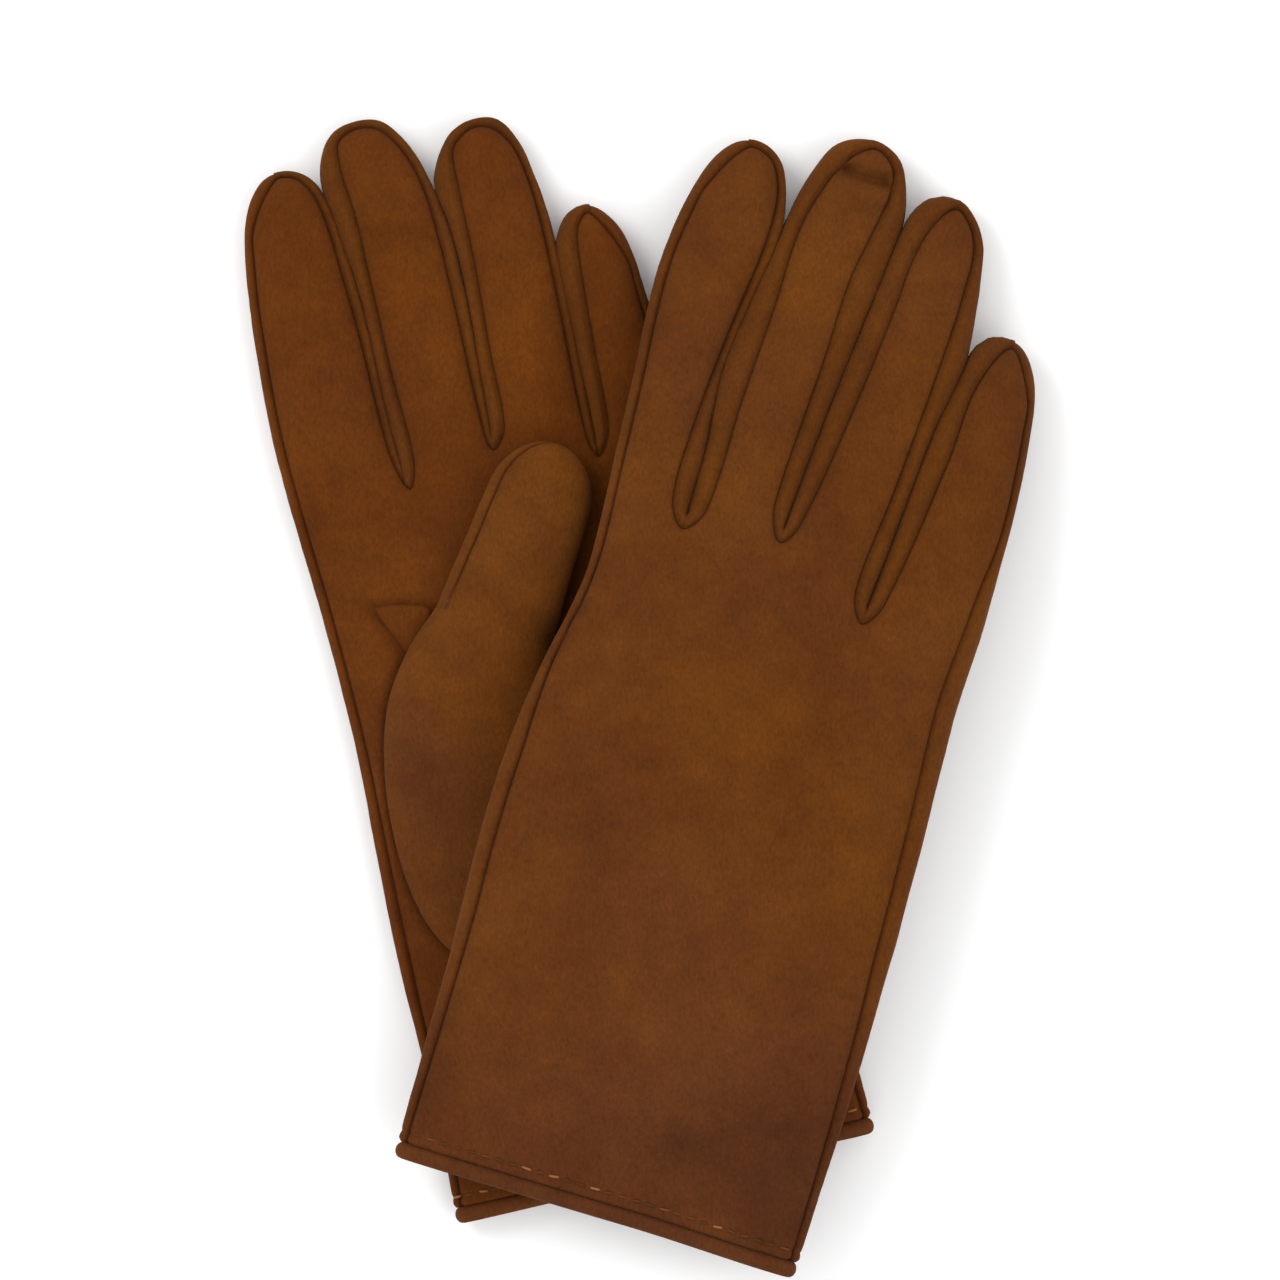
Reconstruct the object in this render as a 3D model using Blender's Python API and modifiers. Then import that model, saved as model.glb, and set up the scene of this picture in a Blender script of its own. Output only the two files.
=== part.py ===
"""A pair of lined suede dress gloves, one laid across the other.

The left glove lies flat with its palm up and its thumb folded over the palm. The right glove
lies across it with its back up and its thumb folded under its palm. Each glove is sewn from an
upper and a lower panel, gussets between the fingers (fourchettes), a thumb with a quirk, a
bound cuff and a separate lining. Units are metres, +Z is up and the table is z = 0.

In a glove's own plane x runs across the hand from the index finger's side, y runs from the cuff
to the fingertips, and z is the height over the glove's middle surface.
"""

import bisect
import math

import bmesh
import bpy
from mathutils import Vector

MM = 0.001

# Leather, lining and the gaps between pieces
SKIN = 0.8 * MM
LINING = 0.5 * MM
SEAM_GAP = 0.6 * MM
SIDE_SEAM_GAP = 1.0 * MM
FLEX_GAP = 0.5 * MM
LINING_INSET_HAND = 1.9 * MM
LINING_INSET_FINGER = 1.45 * MM

# Hand: a flattened tube from the cuff to the roots of the fingers
HAND_HALF_HEIGHT = 5.9 * MM
CUFF_HALF_HEIGHT = 4.9 * MM
HAND_ROUNDNESS = 2.6
FINGER_ROUNDNESS = 2.2
HAND_START = 3.9 * MM
BINDING_RADIUS = 1.7 * MM
BINDING_INSET = 0.9 * MM
SIDE_SEAM_HEIGHT = 2.4 * MM
LINING_START = 2.6 * BINDING_RADIUS
SHARED_ROWS_END = 8 * MM

# Where a hand panel's columns stand: angles kept clear beside its seams, and how far out they go
SIDE_STEP = 0.28
UPPER_MARGIN = 0.05
LOWER_MARGIN = 0.42
COLUMN_REACH = 0.93

# Fingers
FINGER_HALF_HEIGHT = 6.1 * MM
FINGER_GAP = 0.4 * MM
TIP_LENGTH = 11.0 * MM
TIP_TURN = math.radians(80)
FOURCHETTE_STOP = 0.90
PIVOT_RAISE = 0.2 * MM
PIVOT_SHARES = (-1.0, -0.75, -0.5, -0.25, 0.0, 0.25, 0.5, 0.75, 1.0)
FINGER_NAMES = ("index", "middle", "ring", "little")

# Thumb: a heel sewn over the thumb hole, then a tube that lies along the palm
THUMB_HALF_HEIGHT = 5.0 * MM
THUMB_LENGTH = 44.0 * MM
THUMB_BASE_HALF_WIDTH = 14.0 * MM
THUMB_TIP_HALF_WIDTH = 12.0 * MM
THUMB_CLEARANCE = 0.5 * MM
THUMB_SEAM_ANGLE = 0.45
THUMB_SEAM_GAP = 0.035
HEEL_RIM = 0.6 * MM
HEEL_HALF_WIDTH = 15.8 * MM
HEEL_EDGE_HEIGHT = 1.5 * MM
HEEL_BODY_HEIGHT = 3.4 * MM
HEEL_START = (-26.0 * MM, 57.0 * MM)
HEEL_BEND = 30 * MM
HEEL_SPAN = (0.02, 0.985)
HEEL_ROUNDING = 0.3
HEEL_NARROWEST = 0.2
HEEL_BODY_END = 0.35
HEEL_RISE_START = 0.55
HEEL_ROUNDNESS = 2.4
HOLE_HALF_SIZE = (9.5 * MM, 22.0 * MM)
HOLE_CENTRE = (-25.0 * MM, 92.0 * MM)
HOLE_POINTS = 14
CUTTER_REACH = 25 * MM

# Quirk: its corners, measured from the thumb's root along and across the thumb
QUIRK_GAP = 1.3 * MM
QUIRK_SETBACK = 1.7 * MM
QUIRK_SIDE = 11.5 * MM
QUIRK_WIDTH = 12.7 * MM
QUIRK_SLANT = 3.5 * MM
QUIRK_POINT = 0.16
NOTCH_GROW = 0.22

# Heights of the two gloves' middle surfaces over the table
LOWER_MIDDLE = 5.5 * MM
UPPER_CUFF = 17.6 * MM
UPPER_HAND = 28.2 * MM
UPPER_TIPS = 6.5 * MM
UPPER_EDGE_SAG = 5.0 * MM

# One glove each: its place on the table, and the outline of its fingers.
# edges: where the fingers part, across the hand, at their roots and near their tips.
LEFT = {
    "name": "left",
    "upper": "palm",
    "lower": "back",
    "palm_side": 1,
    "turn": math.radians(-13.5),
    "origin": (6.09 * MM, -109.0 * MM),
    "half_width": (47.8 * MM, 46.6 * MM),
    "waist": 1.2 * MM,
    "root_edges": tuple(v * MM for v in (-46.6, -20.8, 0.4, 23.4, 46.2)),
    "tip_edges": tuple(v * MM for v in (-46.2, -21.8, 2.2, 25.2, 42.6)),
    "roots": tuple(v * MM for v in (168.0, 172.5, 172.5, 165.0)),
    "tips": tuple(v * MM for v in (241.5, 248.7, 242.8, 218.0)),
    "panel_share": 0.74,
    "thumb_root": (-8.5 * MM, 129.5 * MM),
    "thumb_angle": math.radians(33),
}
RIGHT = {
    "name": "right",
    "upper": "back",
    "lower": "palm",
    "palm_side": -1,
    "turn": math.radians(16.5),
    "origin": (-9.01 * MM, -117.4 * MM),
    "half_width": (47.6 * MM, 45.6 * MM),
    "waist": 2.6 * MM,
    "root_edges": tuple(v * MM for v in (-44.8, -25.0, -3.2, 20.2, 46.0)),
    "tip_edges": tuple(v * MM for v in (-46.8, -23.6, 3.0, 25.6, 44.6)),
    "roots": tuple(v * MM for v in (158.0, 161.5, 160.0, 150.0)),
    "tips": tuple(v * MM for v in (243.0, 251.0, 243.2, 216.3)),
    "panel_share": 0.64,
    "thumb_root": (-10.0 * MM, 121.0 * MM),
    "thumb_angle": math.radians(40),
}

# Mesh density: cells or points along and across each kind of piece
HAND_ROWS = 8
FINGER_ROWS = 5
TIP_ROWS = 3
PANEL_COLUMNS = 5
WRAPPED_COLUMNS = 7
GUSSET_COLUMNS = 3
THUMB_ROWS = 5
THUMB_COLUMNS = 12
HEEL_CELLS = 8
QUIRK_CELLS = 3
RING_POINTS = 10
BINDING_POINTS = 28
FULL_TURN = 2 * math.pi
LAST_RING_ANGLE = FULL_TURN * (RING_POINTS - 1) / RING_POINTS

# Colour and roughness of each kind of piece
LINING_LOOK = ((0.075, 0.030, 0.012), 0.45)
FOURCHETTE_LOOK = ((0.118, 0.034, 0.0068), 0.95)
THUMB_LOOK = ((0.150, 0.0465, 0.0092), 0.92)
BINDING_LOOK = ((0.115, 0.035, 0.009), 0.88)
PANEL_LOOK = ((0.137, 0.0405, 0.0085), 0.94)


# ---------------------------------------------------------------- small maths

def smooth(start, end, value):
    """0 before start, 1 after end, and an even S between them."""
    t = min(max((value - start) / (end - start), 0.0), 1.0)
    return t * t * (3 - 2 * t)


def mix(a, b, t):
    return a + (b - a) * t


def signed_power(value, power):
    return math.copysign(abs(value) ** power, value)


def section(angle, half_width, half_height, roundness):
    """A point of a superellipse: x across, z up. Angle 0 is the right side, a quarter turn is up."""
    power = 2 / roundness
    x = half_width * signed_power(math.cos(angle), power)
    z = half_height * signed_power(math.sin(angle), power)
    return x, z


def angle_at_share(share, roundness):
    """The angle on the upper side where the section is this share of its half width from the middle."""
    angle = math.acos(min(abs(share), 1.0) ** (roundness / 2))
    return angle if share >= 0 else math.pi - angle


def angle_at_height(share, roundness):
    """The angle on the right side where the section is this share of its half height up."""
    return math.asin(share ** (roundness / 2))


def turned_in(angle, toward, half_width, half_height, roundness, distance):
    """The angle moved along the section by a distance, toward another angle."""
    step = math.copysign(1e-3, toward - angle)
    x0, z0 = section(angle, half_width, half_height, roundness)
    x1, z1 = section(angle + step, half_width, half_height, roundness)
    return angle + step * distance / max(math.hypot(x1 - x0, z1 - z0), 1e-7)


def spread(first, last, count):
    """count intervals between two angles."""
    return [mix(first, last, i / count) for i in range(count + 1)]


# ---------------------------------------------------------------- the glove's surface

def middle_height(glove, x, y):
    """Height over the table of the glove's middle surface."""
    if glove is LEFT:
        return LOWER_MIDDLE
    rise = mix(UPPER_CUFF, UPPER_HAND, smooth(0.0, 58 * MM, y))
    ahead = y + 16 * MM * smooth(20 * MM, 46 * MM, x)
    fall = smooth(152 * MM, 246 * MM, ahead)
    held = smooth(20 * MM, 70 * MM, y) * (1 - smooth(150 * MM, 205 * MM, y))
    sag = UPPER_EDGE_SAG * smooth(26 * MM, 47 * MM, x) * held
    return mix(rise - sag, UPPER_TIPS, fall)


def on_table(glove, x, y, z):
    """World position of a point of the glove's own plane. Nothing lies under the table."""
    turn = glove["turn"]
    world_x = glove["origin"][0] + x * math.cos(turn) + y * math.sin(turn)
    world_y = glove["origin"][1] - x * math.sin(turn) + y * math.cos(turn)
    return Vector((world_x, world_y, max(middle_height(glove, x, y) + z, 0.0)))


def hand_half_width(glove, y):
    cuff, root = glove["half_width"]
    return mix(cuff, root, smooth(60 * MM, 160 * MM, y))


def hand_shift(glove, y):
    """How far the waist beside the thumb's root pulls the index side in."""
    return glove["waist"] * smooth(104 * MM, 134 * MM, y) * (1 - smooth(134 * MM, 150 * MM, y))


def hand_height(y):
    return mix(CUFF_HALF_HEIGHT, HAND_HALF_HEIGHT, smooth(0.0, 45 * MM, y))


def hand_point(glove, angle, y, inset=0.0):
    x, z = section(angle, hand_half_width(glove, y) - inset, hand_height(y) - inset, HAND_ROUNDNESS)
    if x < 0:
        x += hand_shift(glove, y) * min(-x / hand_half_width(glove, y), 1.0)
    return x, z


def palm_height(glove, x, y):
    """Height of the palm's outer surface over the middle surface, counted away from the hand."""
    share = min(abs(x) / hand_half_width(glove, y), 0.995)
    return hand_height(y) * (1 - share ** HAND_ROUNDNESS) ** (1 / HAND_ROUNDNESS)


# ---------------------------------------------------------------- fingers

def finger_frame(glove, number):
    """Root centre, direction and sizes of a finger in the glove's plane."""
    left = glove["root_edges"][number] + FINGER_GAP
    right = glove["root_edges"][number + 1] - FINGER_GAP
    tip_left = glove["tip_edges"][number] + FINGER_GAP
    tip_right = glove["tip_edges"][number + 1] - FINGER_GAP
    root = Vector(((left + right) / 2, glove["roots"][number]))
    shoulder = Vector(((tip_left + tip_right) / 2, glove["tips"][number] - TIP_LENGTH))
    along = (shoulder - root).normalized()
    return {
        "root": root,
        "along": along,
        "across": Vector((along.y, -along.x)),
        "length": (shoulder - root).length + TIP_LENGTH,
        "half_widths": ((right - left) / 2 * along.y, (tip_right - tip_left) / 2),
    }


def root_line(glove, x):
    """How far the hand reaches toward the fingers at x."""
    number = min(max(bisect.bisect(glove["root_edges"], x) - 1, 0), 3)
    frame = finger_frame(glove, number)
    slope = -frame["along"].x / frame["along"].y
    return frame["root"].y + slope * (x - frame["root"].x) - FLEX_GAP


def finger_stations(frame, inset):
    """Distance from the root, half width and half height of each ring, root to tip."""
    wide, narrow = (width - inset for width in frame["half_widths"])
    high = FINGER_HALF_HEIGHT - inset
    straight = frame["length"] - TIP_LENGTH
    rings = []
    for i in range(FINGER_ROWS + 1):
        t = i / FINGER_ROWS
        rings.append((straight * t, mix(wide, narrow, t), high))
    for i in range(1, TIP_ROWS + 1):
        turn = TIP_TURN * i / TIP_ROWS
        reach = straight + (TIP_LENGTH - inset) * math.sin(turn)
        rings.append((reach, narrow * math.cos(turn), high * math.cos(turn)))
    return rings


def finger_position(glove, frame, distance, x, z):
    spot = frame["root"] + frame["along"] * distance + frame["across"] * x
    return on_table(glove, spot.x, spot.y, z)


def finger_grid(glove, number, first, last, count, inset=0.0, stop=1.0, gap=SEAM_GAP / 2):
    """Rows of points over a finger between two seam angles."""
    frame = finger_frame(glove, number)
    rows = []
    for distance, wide, high in finger_stations(frame, inset):
        if distance > stop * frame["length"]:
            break
        start = turned_in(first, last, wide, high, FINGER_ROUNDNESS, gap)
        end = turned_in(last, first, wide, high, FINGER_ROUNDNESS, gap)
        row = []
        for angle in spread(start, end, count):
            x, z = section(angle, wide, high, FINGER_ROUNDNESS)
            row.append(finger_position(glove, frame, distance, x, z))
        rows.append(row)
    return rows


def finger_seams(glove, number):
    """Angles of the upper and lower seams on the finger's right and left sides."""
    gusset = angle_at_share(glove["panel_share"], FINGER_ROUNDNESS)
    side = angle_at_height(SIDE_SEAM_HEIGHT / FINGER_HALF_HEIGHT, FINGER_ROUNDNESS)
    right_upper, right_lower = (side, side) if number == 3 else (gusset, -gusset)
    left_upper, left_lower = (side, side) if number == 0 else (gusset, -gusset)
    return right_upper, math.pi - left_upper, math.pi - left_lower, FULL_TURN + right_lower


# ---------------------------------------------------------------- hand grids

def hand_columns(glove, upper):
    """Angles across a hand panel, right side first, with a pair at each place where fingers part."""
    edges = glove["root_edges"]
    width = glove["half_width"][1]
    places = []
    for number in range(4):
        left, right = edges[number] + FINGER_GAP, edges[number + 1] - FINGER_GAP
        places += [left, (left + right) / 2, right]
    shares = [place / width for place in places if abs(place) < COLUMN_REACH * width]
    angles = sorted(angle_at_share(share, HAND_ROUNDNESS) for share in shares)
    seam = angle_at_height(SIDE_SEAM_HEIGHT / HAND_HALF_HEIGHT, HAND_ROUNDNESS)
    half_height = HAND_HALF_HEIGHT
    if upper:
        first = turned_in(seam, math.pi, width, half_height, HAND_ROUNDNESS, SIDE_SEAM_GAP / 2)
        low, high = first + UPPER_MARGIN, math.pi - first - UPPER_MARGIN
        return [first] + [a for a in angles if low < a < high] + [math.pi - first]
    first = math.pi - turned_in(seam, -math.pi, width, half_height, HAND_ROUNDNESS, SIDE_SEAM_GAP / 2)
    last = 3 * math.pi - first
    left_side = [first, math.pi, math.pi + SIDE_STEP]
    right_side = [FULL_TURN - SIDE_STEP, FULL_TURN, last]
    inner = [a for a in reversed(angles) if LOWER_MARGIN < a < math.pi - LOWER_MARGIN]
    return left_side + [FULL_TURN - a for a in inner] + right_side


def hand_rows(glove, x, first, front_inset=0.0):
    """Distances from the cuff of the rows at x. The last row follows the finger roots."""
    shared = min(glove["roots"]) - SHARED_ROWS_END
    rows = [mix(first, shared, i / (HAND_ROWS - 1)) for i in range(HAND_ROWS)]
    return rows + [root_line(glove, x) - front_inset]


def hand_grid(glove, angles, inset=0.0, first=HAND_START, front_inset=0.0):
    rows = [[] for _ in range(HAND_ROWS + 1)]
    for angle in angles:
        front = section(angle, glove["half_width"][1], HAND_HALF_HEIGHT, HAND_ROUNDNESS)[0]
        for row, y in zip(rows, hand_rows(glove, front, first, front_inset)):
            x, z = hand_point(glove, angle, y, inset)
            row.append(on_table(glove, x, y, z))
    return rows


# ---------------------------------------------------------------- thumb

def thumb_direction(glove):
    return Vector((math.sin(glove["thumb_angle"]), math.cos(glove["thumb_angle"])))


def heel_centre(glove, t):
    """The heel's middle line, from its lower end to the thumb's root."""
    start = Vector(HEEL_START)
    root = Vector(glove["thumb_root"])
    bend = root - thumb_direction(glove) * HEEL_BEND
    return start * (1 - t) ** 2 + bend * 2 * t * (1 - t) + root * t ** 2


def heel_grid(glove):
    """Rows over the heel: an arch that stands on the palm, from the wrist end to the thumb's root."""
    rows = []
    for i in range(HEEL_CELLS + 1):
        t = mix(*HEEL_SPAN, i / HEEL_CELLS)
        here = heel_centre(glove, t)
        along = (heel_centre(glove, t + 0.01) - heel_centre(glove, t - 0.01)).normalized()
        across = Vector((along.y, -along.x))
        rounding = math.sqrt(1 - (1 - min(t / HEEL_ROUNDING, 1.0)) ** 2)
        wide = mix(HEEL_HALF_WIDTH, THUMB_BASE_HALF_WIDTH, smooth(0.5, 1.0, t))
        wide *= max(rounding, HEEL_NARROWEST)
        top = 2 * THUMB_HALF_HEIGHT - HEEL_RIM
        body = mix(HEEL_EDGE_HEIGHT, HEEL_BODY_HEIGHT, smooth(0.0, HEEL_BODY_END, t))
        high = mix(body, top, smooth(HEEL_RISE_START, 1.0, t))
        row = []
        for angle in spread(0.0, math.pi, HEEL_CELLS):
            x, lift = section(angle, wide, high, HEEL_ROUNDNESS)
            spot = here + across * x
            height = palm_height(glove, spot.x, spot.y) + THUMB_CLEARANCE + HEEL_RIM + lift
            row.append(on_table(glove, spot.x, spot.y, glove["palm_side"] * height))
        rows.append(row)
    return rows


def thumb_rings(inset):
    straight = THUMB_LENGTH - TIP_LENGTH
    wide, narrow = THUMB_BASE_HALF_WIDTH - inset, THUMB_TIP_HALF_WIDTH - inset
    high = THUMB_HALF_HEIGHT - inset
    rings = []
    for i in range(THUMB_ROWS + 1):
        t = i / THUMB_ROWS
        rings.append((straight * t, mix(wide, narrow, t), high))
    for i in range(1, TIP_ROWS + 1):
        turn = TIP_TURN * i / TIP_ROWS
        reach = straight + (TIP_LENGTH - inset) * math.sin(turn)
        rings.append((reach, narrow * math.cos(turn), high * math.cos(turn)))
    return rings


def thumb_grid(glove, first, last, count, inset=0.0, start=FLEX_GAP):
    """Rows around the thumb's tube, root to tip."""
    along = thumb_direction(glove)
    across = Vector((along.y, -along.x))
    root = Vector(glove["thumb_root"])
    middle = HAND_HALF_HEIGHT + THUMB_CLEARANCE + THUMB_HALF_HEIGHT
    rows = []
    for distance, wide, high in thumb_rings(inset):
        row = []
        for angle in spread(first, last, count):
            x, z = section(angle, wide, high, FINGER_ROUNDNESS)
            spot = root + along * (start + distance) + across * x
            row.append(on_table(glove, spot.x, spot.y, glove["palm_side"] * (middle + z)))
        rows.append(row)
    return rows


def quirk_corners(glove, grow=0.0):
    """The small gusset beside the thumb's root: its lower, upper and outer corners."""
    along = thumb_direction(glove)
    across = Vector((along.y, -along.x))
    root = Vector(glove["thumb_root"])
    upper = root - across * (THUMB_BASE_HALF_WIDTH + QUIRK_GAP) - along * QUIRK_SETBACK
    lower = upper - along * QUIRK_SIDE
    outer = upper - across * QUIRK_WIDTH - along * QUIRK_SLANT
    middle = (upper + lower + outer) / 3
    return [middle + (corner - middle) * (1 + grow) for corner in (lower, upper, outer)]


def quirk_grid(glove):
    """Rows over the quirk, from its outer corner to the side along the thumb."""
    lower, upper, outer = quirk_corners(glove)
    rows = []
    for i in range(QUIRK_CELLS + 1):
        reach = mix(QUIRK_POINT, 1.0, i / QUIRK_CELLS)
        low, high = outer.lerp(lower, reach), outer.lerp(upper, reach)
        row = []
        for j in range(QUIRK_CELLS + 1):
            spot = low.lerp(high, j / QUIRK_CELLS)
            height = palm_height(glove, spot.x, spot.y)
            row.append(on_table(glove, spot.x, spot.y, glove["palm_side"] * height))
        rows.append(row)
    return rows


# ---------------------------------------------------------------- objects

def look_of(piece):
    """Base colour and roughness of a kind of piece."""
    if "lining" in piece:
        return LINING_LOOK
    if "fourchette" in piece:
        return FOURCHETTE_LOOK
    if "thumb" in piece:
        return THUMB_LOOK
    if "binding" in piece:
        return BINDING_LOOK
    return PANEL_LOOK


def material_for(piece):
    material = bpy.data.materials.new(piece + "_material")
    material.use_nodes = True
    shader = material.node_tree.nodes["Principled BSDF"]
    colour, roughness = look_of(piece)
    shader.inputs["Base Color"].default_value = (*colour, 1.0)
    shader.inputs["Roughness"].default_value = roughness
    shader.inputs["Metallic"].default_value = 0.0
    material.diffuse_color = (*colour, 1.0)
    return material


def clear_scene():
    for obj in list(bpy.data.objects):
        bpy.data.objects.remove(obj, do_unlink=True)


def new_collection(name, hidden=False):
    collection = bpy.data.collections.new(name)
    bpy.context.scene.collection.children.link(collection)
    collection.hide_render = hidden
    return collection


def finish_piece(obj, collection, pivot):
    """Gives a piece its material, its pivot and its collection."""
    collection.objects.link(obj)
    obj.parent = pivot
    obj.data.materials.append(material_for(obj.name))
    if obj.type == "MESH":
        obj.data.shade_smooth()


def sheet_mesh(name, rows, pivot, mirrored=False, closed=False, capped=False):
    """An open surface through rows of points, with its faces pointing away from the hand."""
    offset = pivot.location
    shape = bmesh.new()
    grid = [[shape.verts.new(point - offset) for point in row] for row in rows]
    for low, high in zip(grid, grid[1:]):
        pairs = list(zip(range(len(low)), range(1, len(low))))
        if closed:
            pairs.append((len(low) - 1, 0))
        for a, b in pairs:
            corners = [low[a], high[a], high[b], low[b]]
            shape.faces.new(reversed(corners) if mirrored else corners)
    if capped:
        shape.faces.new(grid[-1] if mirrored else reversed(grid[-1]))
    mesh = bpy.data.meshes.new(name)
    shape.to_mesh(mesh)
    shape.free()
    return mesh


def add_shell(name, rows, place, thickness, mirrored=False, closed=False, capped=False):
    """A piece of leather or lining: the surface, thickened toward the hand."""
    collection, pivot = place
    obj = bpy.data.objects.new(name, sheet_mesh(name, rows, pivot, mirrored, closed, capped))
    finish_piece(obj, collection, pivot)
    solid = obj.modifiers.new("thickness", "SOLIDIFY")
    solid.thickness = thickness
    solid.offset = -1.0
    return obj


def add_pivot(name, position, collection):
    pivot = bpy.data.objects.new(name, None)
    pivot.empty_display_size = 0.01
    pivot.location = position
    collection.objects.link(pivot)
    return pivot


# ---------------------------------------------------------------- pieces

def finger_pivot(glove, number):
    """The flex line: across the finger's root, as high as the root's highest point."""
    frame = finger_frame(glove, number)
    tops = []
    for share in PIVOT_SHARES:
        spot = frame["root"] + frame["across"] * share * frame["half_widths"][0]
        tops.append(on_table(glove, spot.x, spot.y, FINGER_HALF_HEIGHT).z)
    centre = on_table(glove, *frame["root"], 0.0)
    return Vector((centre.x, centre.y, max(tops) + PIVOT_RAISE))


def thumb_pivot(glove):
    """The left thumb lifts about its root's top; the right thumb swings about its root's inner end."""
    along = thumb_direction(glove)
    root = Vector(glove["thumb_root"])
    if glove is LEFT:
        height = HAND_HALF_HEIGHT + THUMB_CLEARANCE + 2 * THUMB_HALF_HEIGHT
        return on_table(glove, root.x, root.y, height) + Vector((0, 0, PIVOT_RAISE))
    across = Vector((along.y, -along.x))
    corner = root + across * THUMB_BASE_HALF_WIDTH
    depth = HAND_HALF_HEIGHT + THUMB_CLEARANCE + THUMB_HALF_HEIGHT
    return on_table(glove, corner.x, corner.y, -depth)


def fourchette_grid(glove, number, first, last):
    """A gusset on one side of a finger, which ends short of the fingertip."""
    return finger_grid(glove, number, first, last, GUSSET_COLUMNS, stop=FOURCHETTE_STOP)


def add_finger(glove, number, collection):
    name = glove["name"] + "_" + FINGER_NAMES[number]
    place = (collection, add_pivot(name + "_pivot", finger_pivot(glove, number), collection))
    right_upper, left_upper, left_lower, right_lower = finger_seams(glove, number)
    upper = finger_grid(glove, number, right_upper, left_upper, PANEL_COLUMNS)
    add_shell(name + "_" + glove["upper"], upper, place, SKIN)
    lower_columns = PANEL_COLUMNS if number in (1, 2) else WRAPPED_COLUMNS
    lower = finger_grid(glove, number, left_lower, right_lower, lower_columns)
    add_shell(name + "_" + glove["lower"], lower, place, SKIN)
    if number > 0:
        gusset = fourchette_grid(glove, number, left_upper, left_lower)
        add_shell(name + "_fourchette_index_side", gusset, place, SKIN)
    if number < 3:
        gusset = fourchette_grid(glove, number, right_lower - FULL_TURN, right_upper)
        add_shell(name + "_fourchette_little_side", gusset, place, SKIN)
    ring = finger_grid(glove, number, 0.0, LAST_RING_ANGLE, RING_POINTS - 1, LINING_INSET_FINGER, gap=0.0)
    add_shell(name + "_lining", ring, place, LINING, closed=True, capped=True)


def add_thumb(glove, collection):
    name = glove["name"] + "_thumb"
    place = (collection, add_pivot(name + "_pivot", thumb_pivot(glove), collection))
    mirrored = glove["palm_side"] < 0
    seam = math.pi - THUMB_SEAM_ANGLE
    first, last = seam - FULL_TURN + THUMB_SEAM_GAP, seam - THUMB_SEAM_GAP
    shell = thumb_grid(glove, first, last, THUMB_COLUMNS)
    add_shell(name, shell, place, SKIN, mirrored)
    ring = thumb_grid(glove, 0.0, LAST_RING_ANGLE, RING_POINTS - 1, LINING_INSET_FINGER)
    add_shell(name + "_lining", ring, place, LINING, mirrored, closed=True, capped=True)


def add_cutter(name, outline, glove, cutters):
    """An upright prism over an outline, from the glove's middle surface out through its palm."""
    middle = sum(point.z for point in outline) / len(outline)
    ends = sorted((middle, middle + glove["palm_side"] * CUTTER_REACH))
    shape = bmesh.new()
    low = [shape.verts.new(Vector((p.x, p.y, ends[0]))) for p in outline]
    high = [shape.verts.new(Vector((p.x, p.y, ends[1]))) for p in outline]
    shape.faces.new(reversed(low))
    shape.faces.new(high)
    for i, corner in enumerate(low):
        j = (i + 1) % len(low)
        shape.faces.new((corner, low[j], high[j], high[i]))
    bmesh.ops.recalc_face_normals(shape, faces=shape.faces)
    mesh = bpy.data.meshes.new(name)
    shape.to_mesh(mesh)
    shape.free()
    obj = bpy.data.objects.new(name, mesh)
    obj.hide_render = True
    obj.display_type = "WIRE"
    cutters.objects.link(obj)
    return obj


def cut(obj, cutter):
    boolean = obj.modifiers.new(cutter.name, "BOOLEAN")
    boolean.object = cutter
    boolean.operation = "DIFFERENCE"
    boolean.solver = "EXACT"


def hole_outline(glove, grow):
    """The thumb hole in the palm, an oval that leans with the thumb."""
    lean = 0.5 * glove["thumb_angle"]
    points = []
    for i in range(HOLE_POINTS):
        angle = FULL_TURN * i / HOLE_POINTS
        x = (HOLE_HALF_SIZE[0] + grow) * math.cos(angle)
        y = (HOLE_HALF_SIZE[1] + grow) * math.sin(angle)
        spot_x = HOLE_CENTRE[0] + x * math.cos(lean) + y * math.sin(lean)
        spot_y = HOLE_CENTRE[1] - x * math.sin(lean) + y * math.cos(lean)
        points.append(on_table(glove, spot_x, spot_y, 0.0))
    return points


def add_binding(glove, place):
    """The rolled edge of the cuff: a round cord along the mouth."""
    collection, pivot = place
    name = glove["name"] + "_cuff_binding"
    curve = bpy.data.curves.new(name, "CURVE")
    curve.dimensions = "3D"
    curve.bevel_depth = BINDING_RADIUS
    curve.bevel_resolution = 2
    spline = curve.splines.new("POLY")
    spline.points.add(BINDING_POINTS - 1)
    for i, point in enumerate(spline.points):
        angle = FULL_TURN * i / BINDING_POINTS
        x, z = hand_point(glove, angle, BINDING_RADIUS, BINDING_INSET)
        spot = on_table(glove, x, BINDING_RADIUS, z)
        spot.z = max(spot.z, BINDING_RADIUS)
        point.co = (*(spot - pivot.location), 1.0)
    spline.use_cyclic_u = True
    finish_piece(bpy.data.objects.new(name, curve), collection, pivot)


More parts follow.
